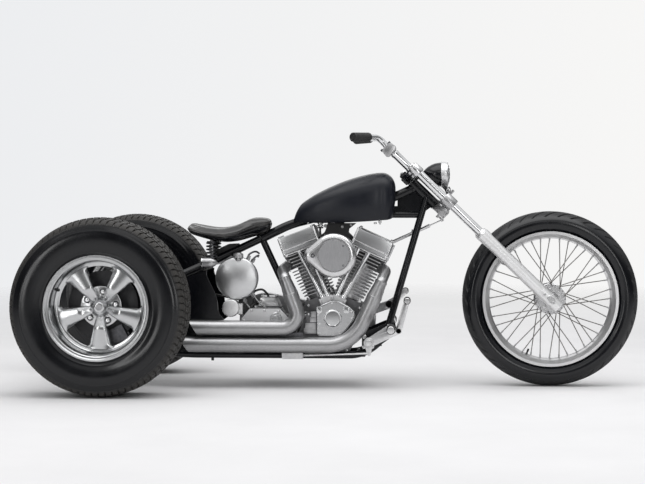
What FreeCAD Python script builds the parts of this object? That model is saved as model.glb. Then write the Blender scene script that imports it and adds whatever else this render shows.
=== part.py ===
"""Motorized trike: a raked chopper front end, a 45 degree V-twin and two wide rear wheels.

Millimetres. +X points forward, +Y to the rider's left, +Z up. The origin lies on the ground,
in the middle of the overall length and width. The machine stands on its three wheels.
"""
import FreeCAD, Part

import math
import os

V = FreeCAD.Vector
Rotation = FreeCAD.Rotation
Placement = FreeCAD.Placement
AXLE_DIR = V(0, 1, 0)

# ---- driving dimensions: stance -------------------------------------------------------------
WHEELBASE = 1802.0
TRACK = 892.0                   # between the rear tyres' middle planes
RAKE = 46.0                     # steering axis from the vertical, degrees
AXLE_DROP = 612.0               # neck's lower end to the front axle, along the steering axis
AXLE_OFFSET = 50.0              # front axle ahead of the steering axis
LEG_OFFSET = 46.0               # fork legs ahead of the steering axis

# ---- driving dimensions: wheels -------------------------------------------------------------
REAR_TYRE_OD, REAR_TYRE_WIDTH = 708.0, 252.0
REAR_LIP_D, REAR_RIM_WIDTH = 416.0, 236.0
REAR_SEAT_D = 380.0             # where the tyre's bead sits
FRONT_TYRE_OD, FRONT_TYRE_WIDTH = 727.0, 125.0
FRONT_LIP_D, FRONT_RIM_WIDTH = 561.0, 101.0
FRONT_SEAT_D = 534.0
FLANGE = 9.0                    # thickness of a rim's flange
BEAD_GAP = 0.3                  # between tyre and rim
REAR_SPOKES = 5
DISH = 97.0                     # from the rear rim's lip face in to its spoked centre
LUG_PCD, LUG_COUNT, LUG_TURN = 120.65, 5, -9.0
FRONT_SPOKES = 40
SPOKE_D = 3.5
HUB_FLANGE_D, HUB_HOLE_D = 126.0, 112.8

# ---- driving dimensions: fork and bars ------------------------------------------------------
NECK_LENGTH, NECK_D = 138.0, 44.0
STEM_D = 25.0
LEG_SPACING = 200.0             # between the fork legs' axes
TUBE_D, SLIDER_D = 35.0, 52.0
LOWER_TREE, UPPER_TREE = 54.0, 42.0     # thicknesses along the steering axis
TREE_GAP = 0.6                  # running gap between neck and trees
RUNNING_FIT = 0.08              # radial play of a shaft in its bore
FACE_GAP = 0.3                  # between faces that pass each other
SLIDER_TOP, SLIDER_END = 232.0, 655.0   # stations down the steering axis
FRONT_AXLE_D = 18.0
RISER_D, RISER_SPACING, RISER_OFFSET = 33.0, 96.0, 35.0
BAR_CLAMP = 298.0               # bar clamps' middle, up the axis from the neck's lower end
BAR_D = 25.4
GRIP_D, GRIP_LENGTH = 38.0, 108.0
GRIP_END = V(82.0, 190.0, 1030.0)
BAR_BEND = V(185.0, RISER_SPACING / 2, 1034.0)
HEADLIGHT_D = 108.0

# ---- driving dimensions: frame --------------------------------------------------------------
BACKBONE_D, CRADLE_D, STAY_D, POST_D = 38.0, 28.0, 32.0, 28.0
RAIL_SPREAD = 90.0              # rails' axes from the middle plane
RAIL_HEIGHT = 130.5
DOWNTUBE_BEND = 170.0
CARRIER_SPREAD, CARRIER_PLATE = 130.0, 12.0
HOUSING_D = 76.0

# ---- driving dimensions: engine -------------------------------------------------------------
CRANK_BEHIND_NECK = 427.2       # crankshaft behind the neck's lower end
CRANK_HEIGHT = 234.0
CYLINDERS = {"rear": -20.5, "front": 24.5}      # leans from the vertical, degrees
CASE_HALF = 72.0                # half width of the crankcase
DECK, HEAD_TOP, BOX_SPLIT, BOX_TOP = 150.0, 355.0, 380.0, 434.0   # stations up a cylinder
BORE_D = 104.0
FIN_COUNT, FIN_THICK = 14, 3.2
CHEST_FACE, COVER_FACE = -108.0, -136.0         # right faces of cam chest and cam cover
PUSHROD_D, PUSHROD_Y = 20.0, -93.0
PIPE_D, PIPE_BORE, PIPE_Y = 62.5, 56.0, -170.0
UPPER_PIPE_Z, LOWER_PIPE_Z = 248.5, 180.0
HEADER_D, HEADER_BENDS, COLLAR = 45.0, (34, 26), 6.0
PIPE_BORE_DEPTH = 200.0

# ---- places worked out from them ------------------------------------------------------------
REAR_R, FRONT_R = REAR_TYRE_OD / 2, FRONT_TYRE_OD / 2
REAR_X = REAR_R - (WHEELBASE + REAR_R + FRONT_R) / 2
FRONT_X = REAR_X + WHEELBASE
_rake = math.radians(RAKE)
DOWN = V(math.sin(_rake), 0, -math.cos(_rake))      # along the steering axis
AHEAD = V(math.cos(_rake), 0, math.sin(_rake))      # square to it, forward
NECK = V(FRONT_X, 0, FRONT_R) - DOWN * AXLE_DROP - AHEAD * AXLE_OFFSET
CRANK = V(NECK.x - CRANK_BEHIND_NECK, 0, CRANK_HEIGHT)
STEER = Placement(NECK, Rotation(AXLE_DIR, -RAKE))  # x ahead, z up the steering axis
LEG_Y = LEG_SPACING / 2


# ---- shape helpers --------------------------------------------------------------------------
def box(x0, x1, y0, y1, z0, z1):
    """Box between two corners, given in any order."""
    low = V(min(x0, x1), min(y0, y1), min(z0, z1))
    return Part.makeBox(abs(x1 - x0), abs(y1 - y0), abs(z1 - z0), low)


def rod(start, end, diameter):
    """Round bar from start to end."""
    return Part.makeCylinder(diameter / 2, (end - start).Length, start, end - start)


def disc(x, z, y0, y1, diameter):
    """Round piece with its axis along Y."""
    return Part.makeCylinder(diameter / 2, abs(y1 - y0), V(x, min(y0, y1), z), AXLE_DIR)


def plate(points, y0, y1):
    """Flat piece cut along an outline of (x, z) corners, between two Y planes."""
    corners = [V(x, min(y0, y1), z) for x, z in points]
    face = Part.Face(Part.makePolygon(corners + corners[:1]))
    return face.extrude(V(0, abs(y1 - y0), 0))


def tapered(a, size_a, b, size_b, y0, y1):
    """Flat link with a round end about each of two (x, z) points, joined by tangents."""
    span = math.hypot(b[0] - a[0], b[1] - a[1])
    along = ((b[0] - a[0]) / span, (b[1] - a[1]) / span)
    sin_lean = (size_a - size_b) / 2 / span
    cos_lean = math.sqrt(1 - sin_lean ** 2)
    corners = []
    for centre, size, sign in ((a, size_a, 1), (b, size_b, 1), (b, size_b, -1), (a, size_a, -1)):
        out_x = along[0] * sin_lean - sign * along[1] * cos_lean
        out_z = along[1] * sin_lean + sign * along[0] * cos_lean
        corners.append((centre[0] + out_x * size / 2, centre[1] + out_z * size / 2))
    ends = [disc(a[0], a[1], y0, y1, size_a), disc(b[0], b[1], y0, y1, size_b)]
    return fuse([plate(corners, y0, y1)] + ends)


def bent_tube(points, diameter, bends=()):
    """Round tube along straight runs; each inner corner is an arc of its radius in bends."""
    edges, start = [], points[0]
    for before, corner, after, radius in zip(points, points[1:], points[2:], bends):
        back = (before - corner).normalize()
        on = (after - corner).normalize()
        half = back.getAngle(on) / 2
        reach = radius / math.tan(half)
        inside = (back + on).normalize() * (radius / math.sin(half) - radius)
        arc_start, arc_end = corner + back * reach, corner + on * reach
        edges.append(Part.makeLine(start, arc_start))
        edges.append(Part.Arc(arc_start, corner + inside, arc_end).toShape())
        start = arc_end
    edges.append(Part.makeLine(start, points[-1]))
    section = Part.Wire(Part.makeCircle(diameter / 2, points[0], points[1] - points[0]))
    return Part.Wire(edges).makePipeShell([section], True, True)


def ring(profile):
    """Body turned about the Y axis from (radius, y) corners; a third value marks an arc's middle."""
    corners = [V(p[0], p[1], 0) for p in profile]
    edges, index, count = [], 0, len(profile)
    while index < count:
        here, nxt = corners[index], corners[(index + 1) % count]
        if len(profile[(index + 1) % count]) == 3:
            after = corners[(index + 2) % count]
            edges.append(Part.Arc(here, nxt, after).toShape())
            index += 2
        else:
            edges.append(Part.makeLine(here, nxt))
            index += 1
    return Part.Face(Part.Wire(edges)).revolve(V(0, 0, 0), AXLE_DIR, 360)


def fuse(shapes):
    """One solid out of pieces that meet."""
    first = shapes[0]
    return first.fuse(shapes[1:]).removeSplitter() if len(shapes) > 1 else first


def group(shapes):
    """Separate solids that share a node."""
    return Part.makeCompound(shapes)


def moved(shape, offset):
    copy = shape.copy()
    copy.translate(offset)
    return copy


def placed(shape, placement):
    copy = shape.copy()
    copy.Placement = placement.multiply(copy.Placement)
    return copy


def mirrored(shape):
    """The same piece on the other side of the middle plane."""
    return shape.mirror(V(0, 0, 0), AXLE_DIR)


def both_sides(shape):
    return group([shape, mirrored(shape)])


def turned_nose(radius, straight, depth, tip):
    """Bullet about the X axis: a straight part ahead of x = 0, a nose of this depth behind it."""
    reach = depth - tip
    big = (reach ** 2 + radius ** 2 - tip ** 2) / (2 * (radius - tip))
    centre, tip_centre = V(0, 0, radius - big), V(-reach, 0, 0)
    along = (tip_centre - centre).normalize()
    meet = centre + along * big
    middle = centre + (V(0, 0, 1) + along).normalize() * big
    tip_middle = tip_centre + (V(-1, 0, 0) + along).normalize() * tip
    edges = [Part.makeLine(V(-depth, 0, 0), V(straight, 0, 0)),
             Part.makeLine(V(straight, 0, 0), V(straight, 0, radius)),
             Part.makeLine(V(straight, 0, radius), V(0, 0, radius)),
             Part.Arc(V(0, 0, radius), middle, meet).toShape(),
             Part.Arc(meet, tip_middle, V(-depth, 0, 0)).toShape()]
    return Part.Face(Part.Wire(edges)).revolve(V(0, 0, 0), V(1, 0, 0), 360)


def around(shape, count, turn=0.0):
    """Copies of a piece spread evenly about the Y axis."""
    copies = []
    for index in range(count):
        copy = shape.copy()
        copy.rotate(V(0, 0, 0), AXLE_DIR, turn + index * 360.0 / count)
        copies.append(copy)
    return copies


# ---- wheels ---------------------------------------------------------------------------------
def tyre(outer_d, width, seat_d, rim_width, lip_d, shoulder, drop):
    """Closed tyre; shoulder is its tread's share of the width, drop how far the crown falls."""
    seat, lip, crown = seat_d / 2 + BEAD_GAP, lip_d / 2 + 2, outer_d / 2
    bead, wall, edge = rim_width / 2 - FLANGE - BEAD_GAP, width / 2, width / 2 * shoulder
    middle = lip + (crown - lip) * 0.42
    side = crown - drop - (crown - lip) * 0.12
    return ring([
        (seat, bead), (lip, bead), (middle, wall, "arc"), (side, (wall + edge) / 2 + 3),
        (crown - drop, edge), (crown, 0, "arc"), (crown - drop, -edge),
        (side, -(wall + edge) / 2 - 3), (middle, -wall, "arc"), (lip, -bead), (seat, -bead)])


def rear_tyre():
    return tyre(REAR_TYRE_OD, REAR_TYRE_WIDTH, REAR_SEAT_D, REAR_RIM_WIDTH, REAR_LIP_D, 0.80, 11)


def front_tyre():
    return tyre(FRONT_TYRE_OD, FRONT_TYRE_WIDTH, FRONT_SEAT_D, FRONT_RIM_WIDTH, FRONT_LIP_D, 0.62, 17)


WALL = 8.0                      # thickness of the rear rim's barrel
CENTRE_BACK = -8.0              # where the rear wheel bolts on, from the tyre's middle plane
PAD_D, PAD_FACE = 164.0, 3.0
RING_D = 323.0                  # circle inside which the windows lie
CAP_D, CAP_FACE = 84.0, 50.0
LUG_HOLE_D, LUG_NUT_D, LUG_NUT_LENGTH = 13.0, 22.0, 19.0
LUG_START = 90.0 + 180.0 / LUG_COUNT - LUG_TURN
SPOKE_ROOT, SPOKE_TIP = 38.0, 174.0
#               radius   width  ridge width  ridge height
SPOKE_TABLE = ((SPOKE_ROOT, 32.0, 16.0, 34.0), (SPOKE_TIP, 84.0, 34.0, 32.0))


def rear_spoke():
    """One spoke along +X, wide at the rim, with a ridge down its middle."""
    sections = []
    for radius, width, ridge, height in SPOKE_TABLE:
        low, skirt = CENTRE_BACK + 6, CENTRE_BACK + 18
        corners = [V(radius, low, -width / 2), V(radius, skirt, -width / 2),
                   V(radius, height, -ridge / 2), V(radius, height, ridge / 2),
                   V(radius, skirt, width / 2), V(radius, low, width / 2)]
        sections.append(Part.makePolygon(corners + corners[:1]))
    return Part.makeLoft(sections, True, True)


def rear_rim():
    """Deep dished wheel with five spokes and a domed cap; the street side is +Y."""
    lip, seat, face = REAR_LIP_D / 2, REAR_SEAT_D / 2, REAR_RIM_WIDTH / 2
    bore, step = seat - WALL, face - DISH
    barrel = ring([
        (lip, face), (lip, face - FLANGE), (seat, face - FLANGE), (seat, FLANGE - face),
        (lip, FLANGE - face), (lip, -face), (bore + 6, -face), (bore, -face + 16),
        (bore, step - 18), (RING_D / 2, step - 18), (RING_D / 2 + 4, step), (bore, step),
        (bore, face - 26), (lip - 10, face)])
    pad = ring([(0, CENTRE_BACK), (PAD_D / 2, CENTRE_BACK), (PAD_D / 2, PAD_FACE), (0, PAD_FACE)])
    cone = CAP_D / 2 - 20
    dome = ring([
        (0, PAD_FACE), (CAP_D / 2, PAD_FACE), (CAP_D / 2, PAD_FACE + 12), (cone, CAP_FACE - 5),
        (cone - 3.5, CAP_FACE - 1.5, "arc"), (cone - 10, CAP_FACE), (0, CAP_FACE)])
    wheel = fuse([barrel, pad, dome] + around(rear_spoke(), REAR_SPOKES, 90.0))
    hole = disc(LUG_PCD / 2, 0, CENTRE_BACK - 1, CAP_FACE, LUG_HOLE_D)
    pocket = disc(LUG_PCD / 2, 0, PAD_FACE, CAP_FACE, LUG_NUT_D + 3)
    return wheel.cut(around(hole, LUG_COUNT, LUG_START) + around(pocket, LUG_COUNT, LUG_START))


BRAKE_DISC_D, BRAKE_DISC_THICK, BRAKE_DISC_IN = 280.0, 10.0, 54.0
HUB_D, HUB_THICK, AXLE_SHAFT_D = 150.0, 16.0, 40.0
HOUSING_END = 75.0              # from the tyre's middle plane in to the axle housing's end
SHAFT_DEPTH = 60.0              # how far the wheel's shaft reaches into the housing


def rear_hub():
    """Axle flange with studs and nuts, and the brake disc on its hat; the street side is +Y."""
    back = CENTRE_BACK - HUB_THICK
    stud = disc(LUG_PCD / 2, 0, CENTRE_BACK - 1, PAD_FACE + 1, LUG_HOLE_D - 1)
    nut = disc(LUG_PCD / 2, 0, PAD_FACE, PAD_FACE + LUG_NUT_LENGTH, LUG_NUT_D)
    pieces = [
        disc(0, 0, back, CENTRE_BACK, HUB_D),
        disc(0, 0, -BRAKE_DISC_IN, back, HUB_D - 16),
        disc(0, 0, -BRAKE_DISC_IN - BRAKE_DISC_THICK / 2, -BRAKE_DISC_IN + BRAKE_DISC_THICK / 2,
             BRAKE_DISC_D),
        disc(0, 0, -HOUSING_END - SHAFT_DEPTH + 1, -BRAKE_DISC_IN, AXLE_SHAFT_D)]
    return fuse(pieces + around(stud, LUG_COUNT, LUG_START) + around(nut, LUG_COUNT, LUG_START))


def front_rim():
    lip, seat, face = FRONT_LIP_D / 2, FRONT_SEAT_D / 2, FRONT_RIM_WIDTH / 2
    flange = 6.0
    half = [(lip, face), (lip, face - flange), (seat, face - FLANGE), (seat - 1, 20), (seat - 9, 13)]
    inner = [(seat - 17, 12), (seat - 11, 30), (seat + 2, face)]
    outline = half + [(r, -y) for r, y in reversed(half)] + [(r, -y) for r, y in reversed(inner)]
    return ring(outline + inner)


FRONT_WELL_R = FRONT_SEAT_D / 2 - 17    # where the wire spokes end
OUTER_STAND = 5.0               # outer spokes stand off the flange so that they clear its edge
HUB_BARREL_D, HUB_FLANGE_Y, HUB_FLANGE_THICK, HUB_END = 60.0, 36.0, 4.0, 70.0


def front_hub():
    flange = disc(0, 0, HUB_FLANGE_Y - HUB_FLANGE_THICK / 2, HUB_FLANGE_Y + HUB_FLANGE_THICK / 2,
                  HUB_FLANGE_D)
    hub = fuse([disc(0, 0, -HUB_FLANGE_Y, HUB_FLANGE_Y, HUB_BARREL_D),
                disc(0, 0, -HUB_END, HUB_END, HUB_BARREL_D - 18), flange, mirrored(flange)])
    return hub.cut(disc(0, 0, -HUB_END, HUB_END, FRONT_AXLE_D + 2 * RUNNING_FIT))


def front_spokes():
    """Forty wire spokes, half to each flange, each pair laced one inside and one outside it."""
    spokes = []
    per_flange = FRONT_SPOKES // 2
    step = 360.0 / per_flange
    for side, first in ((1, 0.0), (-1, step / 2)):
        for index in range(per_flange):
            lead = 1 if index % 2 == 0 else -1
            hub_angle = math.radians(first + index * step)
            rim_angle = hub_angle + lead * math.radians(2 * step)
            face = HUB_FLANGE_Y + lead * HUB_FLANGE_THICK / 2
            stand = face + (OUTER_STAND if lead > 0 else -SPOKE_D / 2 - FACE_GAP)
            hub_x = HUB_HOLE_D / 2 * math.cos(hub_angle)
            hub_z = HUB_HOLE_D / 2 * math.sin(hub_angle)
            rim_r = FRONT_WELL_R - FACE_GAP
            rim_end = V(rim_r * math.cos(rim_angle), side * 5, rim_r * math.sin(rim_angle))
            wire = rod(V(hub_x, side * stand, hub_z), rim_end, SPOKE_D)
            elbow = rod(V(hub_x, side * face, hub_z), V(hub_x, side * (stand + lead), hub_z), SPOKE_D)
            spokes.append(wire.fuse(elbow))
    return group(spokes)


# ---- frame ----------------------------------------------------------------------------------
SEAT_JOINT = V(CRANK.x - 300, 0, 612)           # where the backbone meets the two stays
BACKBONE_MID = V(CRANK.x - 182, 0, 671)
BACKBONE_HEAD = NECK - DOWN * 108
TUNNEL_HALF, TUNNEL_LIFT = 27.0, 8.0            # space for the backbone in the tank's underside
TANK_PADS, PAD_HALF, PAD_LOW = (-96.0, 170.0), 10.0, 692.0
BRACE_Z, BRACE_FRONT_X, BRACE_D = 712.0, NECK.x - 63, 28.0
RAIL_END_X, STOP_X = REAR_X + 118, REAR_X + 401
STAY_END = V(REAR_X + 96, CARRIER_SPREAD, 385)
AXLE = V(REAR_X, 0, REAR_R)
POST_FOOT_X = CRANK.x - 172
POST_KNEE = V(CRANK.x - 205, 0, 408)


def neck_tube(diameter):
    return rod(NECK - DOWN * NECK_LENGTH, NECK, diameter)


def backbone_path():
    return [BACKBONE_HEAD, V(NECK.x - 190, 0, 778), BACKBONE_MID, SEAT_JOINT]


def tunnel_outline(lift):
    """Outline of the space round the backbone under the tank, its roof this far above the tube."""
    path = backbone_path()
    roof = [(point.x, point.z + BACKBONE_D / 2 + lift) for point in path]
    return roof + [(path[-1].x, 500), (path[0].x, 500)]


def tank_pads():
    """Two rubber-topped pads on the backbone that carry the tank."""
    blank = plate(tunnel_outline(TUNNEL_LIFT - FACE_GAP), -PAD_HALF, PAD_HALF)
    pads = []
    for x in TANK_PADS:
        centre = CRANK.x + x
        pads.append(blank.common(box(centre - 18, centre + 18, -PAD_HALF, PAD_HALF,
                                     PAD_LOW, BACKBONE_HEAD.z)))
    return pads


def frame_backbone():
    """Neck, backbone tube, the web plate behind the neck and the brace below it."""
    tube = bent_tube(backbone_path(), BACKBONE_D, (300, 400))
    brace = rod(V(BRACE_FRONT_X, 0, BRACE_Z), V(CRANK.x + 20, 0, BRACE_Z), BRACE_D)
    web = plate([(NECK.x - 6, NECK.z), (BRACE_FRONT_X, BRACE_Z), (CRANK.x + 190, BRACE_Z),
                 (CRANK.x + 190, 748), (CRANK.x + 268, 748), (CRANK.x + 268, 774),
                 (CRANK.x + 190, 774), (NECK.x - 80, NECK.z + 70)], -4, 4)
    whole = fuse([neck_tube(NECK_D), tube, brace, web] + tank_pads())
    return whole.cut(neck_tube(STEM_D + 2 * RUNNING_FIT))


def downtube_path():
    """From the neck down one side of the engine and round into its rail."""
    top = NECK - DOWN * 52
    knee = V(CRANK.x + 197.5, RAIL_SPREAD, RAIL_HEIGHT)
    return [V(top.x, 10, top.z), knee, V(CRANK.x + 60, RAIL_SPREAD, RAIL_HEIGHT)]


def largest(shape):
    """The one solid that is wanted out of a cut."""
    return max(shape.Solids, key=lambda solid: solid.Volume)


def left_half(shape):
    """What lies left of the middle plane."""
    bounds = shape.BoundBox
    right = box(bounds.XMin - 1, bounds.XMax + 1, bounds.YMin - 1, 0, bounds.ZMin - 1, bounds.ZMax + 1)
    return shape.cut(right) if bounds.YMin < 0 else shape


def downtube():
    """Left downtube, run on into the neck."""
    return bent_tube(downtube_path(), CRADLE_D, (DOWNTUBE_BEND,))


def frame_downtubes():
    left = left_half(downtube()).cut([neck_tube(NECK_D), frame_backbone()])
    return both_sides(largest(left))


def frame_rails():
    start = V(CRANK.x + 60, RAIL_SPREAD, RAIL_HEIGHT)
    knee = V(REAR_X + 330, RAIL_SPREAD, RAIL_HEIGHT)
    end = V(RAIL_END_X, CARRIER_SPREAD, RAIL_HEIGHT + 12)
    tube = bent_tube([start, knee, end], CRADLE_D, (200,))
    stop = rod(V(STOP_X, RAIL_SPREAD, RAIL_HEIGHT), V(STOP_X, RAIL_SPREAD, RAIL_HEIGHT - 24.5), 12)
    return both_sides(largest(fuse([tube, stop]).cut(axle_carrier())))


def frame_seat_post():
    foot = V(POST_FOOT_X, 0, RAIL_HEIGHT + 12)
    path = [SEAT_JOINT, POST_KNEE, V(POST_FOOT_X, 0, 320), foot]
    return largest(bent_tube(path, POST_D, (90, 90)).cut([frame_backbone(), frame_stays()]))


def stay():
    path = [SEAT_JOINT - V(6, -STAY_D / 2, 2), V(CRANK.x - 500, 56, 518), STAY_END]
    return bent_tube(path, STAY_D, (500,))


def frame_stays():
    left = left_half(stay()).cut([frame_backbone(), axle_carrier()])
    return both_sides(largest(left))


#                 x from crank, z: front edge of the carrier plates, from the lamp down to the nose
CARRIER_FRONT = ((-518, 482), (-519, 462), (-498, 418), (-484, 389), (-474, 359), (-471, 319),
                 (-464, 300), (-446, 281))


def axle_carrier():
    """Plate on the left that joins stay, rail and axle housing and fills the corner ahead of them."""
    outline = [(REAR_X - 80, REAR_R - 60), (REAR_X - 40, REAR_R + 70), (REAR_X + 60, REAR_R + 82),
               (REAR_X + 128, REAR_R + 45)]
    outline += [(CRANK.x + x, z) for x, z in CARRIER_FRONT]
    outline += [(REAR_X + 269, RAIL_HEIGHT + 13.5), (REAR_X + 150, RAIL_HEIGHT - 12),
                (REAR_X + 60, RAIL_HEIGHT - 12)]
    inner = CARRIER_SPREAD - CARRIER_PLATE / 2
    blank = plate(outline, inner, inner + CARRIER_PLATE)
    return blank.cut(disc(REAR_X, REAR_R, inner - 1, inner + CARRIER_PLATE + 1, HOUSING_D + 0.4))


def axle_carriers():
    return both_sides(axle_carrier())


def frame_crossmembers():
    """Engine and gearbox plates between the rails."""
    inner = RAIL_SPREAD - CRADLE_D / 2 - 0.2
    front = box(CRANK.x + 96, CRANK.x + 136, -inner, inner, RAIL_HEIGHT - 8, RAIL_HEIGHT + 6)
    middle = box(POST_FOOT_X - 26, POST_FOOT_X + 26, -inner, inner, RAIL_HEIGHT - 8, RAIL_HEIGHT + 12)
    rear = box(CRANK.x - 380, CRANK.x - 200.5, -inner, inner, RAIL_HEIGHT, RAIL_HEIGHT + 12)
    return group([piece.cut([downtube(), mirrored(downtube())]) for piece in (front, middle, rear)])


# ---- rear axle and final drive --------------------------------------------------------------
DIFF_D, DIFF_HALF = 184.0, 54.0
FINAL_Y0, FINAL_Y1 = 60.0, 86.0         # the belt's two edges
TRANS_SHAFT = V(CRANK.x - 294, 0, 264)
PULLEY_SMALL_D, PULLEY_LARGE_D, BELT = 118.0, 178.0, 7.0
MAIN_SHAFT_D = 44.0             # gearbox's shaft, through the small pulley to the primary drive


def rear_axle_housing():
    end = TRACK / 2 - HOUSING_END
    flange = disc(REAR_X, REAR_R, end - 15, end - 5, 124)
    pumpkin = disc(REAR_X, REAR_R, -DIFF_HALF, DIFF_HALF, DIFF_D)
    cover = Part.makeSphere(88, V(REAR_X - 34, 0, REAR_R))
    nose = disc(REAR_X, REAR_R, -DIFF_HALF - 40, DIFF_HALF, 120)
    tube = disc(REAR_X, REAR_R, -end, end, HOUSING_D)
    slab = box(REAR_X - 200, REAR_X + 200, -DIFF_HALF, DIFF_HALF, 0, 700)
    bore = disc(REAR_X, REAR_R, end - SHAFT_DEPTH, end, AXLE_SHAFT_D + 2 * RUNNING_FIT)
    whole = fuse([tube, pumpkin, cover.common(slab), nose, flange, mirrored(flange)])
    return whole.cut([bore, mirrored(bore)])


CALIPER_AT = -63.0              # degrees below the front, about the axle
CALIPER_CLEAR = 5.0


def caliper():
    """Brake caliper on its bracket, left side, straddling the disc."""
    plane = TRACK / 2 - BRAKE_DISC_IN
    gap = BRAKE_DISC_THICK / 2 + CALIPER_CLEAR
    rim = BRAKE_DISC_D / 2
    block = box(rim - 42, rim + 20, plane - gap - 14, plane + gap + 11, -34, 34)
    slot = box(0, rim + CALIPER_CLEAR, plane - gap, plane + gap, -40, 40)
    end = TRACK / 2 - HOUSING_END
    arm = box(62 - 4, rim - 40, end - 15, end - 5, -26, 26)
    arm_end = box(rim - 42, rim - 10, end - 15, plane - gap, -26, 26)
    body = fuse([block.cut(slot), arm, arm_end])
    body.rotate(V(0, 0, 0), AXLE_DIR, -CALIPER_AT)
    body = moved(body, AXLE)
    return body.cut(disc(REAR_X, REAR_R, end - 20, end, 124.2))


def rear_brake_calipers():
    return both_sides(caliper())


def belt_loop(grow):
    """Solid outline round both pulleys."""
    return tapered((TRANS_SHAFT.x, TRANS_SHAFT.z), PULLEY_SMALL_D + 2 * grow,
                   (REAR_X, REAR_R), PULLEY_LARGE_D + 2 * grow, FINAL_Y0, FINAL_Y1)


def final_drive_belt():
    return belt_loop(BELT).cut(belt_loop(0))


def final_drive_pulleys():
    small = disc(TRANS_SHAFT.x, TRANS_SHAFT.z, FINAL_Y0, FINAL_Y1 - 0.5, PULLEY_SMALL_D - 0.4)
    small = small.cut(disc(TRANS_SHAFT.x, TRANS_SHAFT.z, FINAL_Y0 - 1, FINAL_Y1 + 1, MAIN_SHAFT_D))
    large = disc(REAR_X, REAR_R, FINAL_Y0, FINAL_Y1, PULLEY_LARGE_D - 0.4)
    return group([small, large.cut(disc(REAR_X, REAR_R, FINAL_Y0 - 1, FINAL_Y1 + 1, HOUSING_D))])


# ---- engine ---------------------------------------------------------------------------------
def cylinder_frame(name):
    """x along the crank's length of view, z up this cylinder, origin on the crankshaft."""
    return Placement(CRANK, Rotation(AXLE_DIR, CYLINDERS[name]))


def rounded_slab(half_x, y0, y1, z0, z1, radius):
    """Plate square to a cylinder, its four upright corners rounded."""
    slab = box(-half_x, half_x, y0, y1, z0, z1)
    upright = [e for e in slab.Edges if abs(e.Vertexes[0].Z - e.Vertexes[-1].Z) > (z1 - z0) / 2]
    return slab.makeFillet(radius, upright)


FIN_FRONT, FIN_BACK = -76.0, 68.0       # right and left ends of the fins
FIN_FIRST, FIN_LAST = 168.0, 347.0
FIN_HALF_LOW, FIN_HALF_TOP = 64.0, 83.0
EXHAUST_SIDE = {"rear": -1, "front": 1}
PORT_Y, PORT_UP, PORT_BOSS_D = -30.0, 321.0, 60.0


def cylinder(name):
    """Finned barrel and head."""
    pieces = [Part.makeCylinder(BORE_D / 2, HEAD_TOP - DECK, V(0, 0, DECK))]
    pitch = (FIN_LAST - FIN_FIRST) / (FIN_COUNT - 1)
    for index in range(FIN_COUNT):
        level = FIN_FIRST + index * pitch
        half = FIN_HALF_LOW + (FIN_HALF_TOP - FIN_HALF_LOW) * index / (FIN_COUNT - 1)
        pieces.append(rounded_slab(half, FIN_FRONT, FIN_BACK, level, level + FIN_THICK, 26))
    head = rounded_slab(66, FIN_FRONT + 10, FIN_BACK - 8, FIN_LAST - 42, HEAD_TOP, 20)
    side = EXHAUST_SIDE[name]
    port = rod(V(side * 40, PORT_Y, PORT_UP), V(side * FIN_HALF_TOP, PORT_Y, PORT_UP), PORT_BOSS_D)
    return placed(fuse(pieces + [head, port]), cylinder_frame(name))


BOX_RIGHT, BOX_LEFT, BOX_HALF = -112.0, 72.0, 79.5


def rocker_box(name):
    lower = rounded_slab(BOX_HALF - 3, BOX_RIGHT + 2, BOX_LEFT - 2, HEAD_TOP, BOX_SPLIT, 12)
    upper = box(-BOX_HALF, BOX_HALF, BOX_RIGHT, BOX_LEFT, BOX_SPLIT, BOX_TOP)
    edges = [e for e in upper.Edges if e.BoundBox.ZMin > BOX_TOP - 1]
    return placed(fuse([lower, upper.makeChamfer(5, edges)]), cylinder_frame(name))


DRAIN_D, DRAIN_Y, DRAIN_OUT = 10.0, 8.0, 7.0


def rocker_drain(name, side):
    """Drain tube down the outer side of a rocker box, thinner past the head."""
    x = side * (BOX_HALF + DRAIN_OUT)
    tube = rod(V(x, DRAIN_Y, HEAD_TOP - 3), V(x, DRAIN_Y, BOX_TOP - 10), DRAIN_D)
    thin = rod(V(x, DRAIN_Y, FIN_LAST - 62), V(x, DRAIN_Y, HEAD_TOP), 5)
    union = rod(V(x, DRAIN_Y, HEAD_TOP + 8), V(side * (BOX_HALF - 3), DRAIN_Y, HEAD_TOP + 8), DRAIN_D)
    return placed(fuse([tube, thin, union]), cylinder_frame(name))


def rocker_drains():
    return group([rocker_drain(name, side) for name, side in EXHAUST_SIDE.items()])


def case_outline():
    """Crankcase from the right: two decks, rounded nose and tail."""
    x, z = CRANK.x, CRANK.z
    return [(x - 118, z + 116), (x + 5, z + 161), (x + 126, z + 107), (x + 128, z + 10),
            (x + 66, z - 96), (x - 64, z - 96), (x - 138, z - 44), (x - 138, z + 70)]


def deck_cutter(name):
    """Everything above a cylinder's base."""
    return placed(box(-150, 150, -150, 150, DECK, 500), cylinder_frame(name))


CAM_TOP = (0.0, 126.0)
#            x from crank, z from crank: cam cover outline, clockwise from its peak
CAM_OUTLINE = ((0, 127), (28, 124), (74, 100), (96, 78), (94, 52), (56, 0), (30, -22),
               (-10, -24), (-48, -8), (-62, 30), (-62, 84), (-44, 108))


def cam_plate(y0, y1):
    return plate([(CRANK.x + x, CRANK.z + z) for x, z in CAM_OUTLINE], y0, y1)


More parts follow.
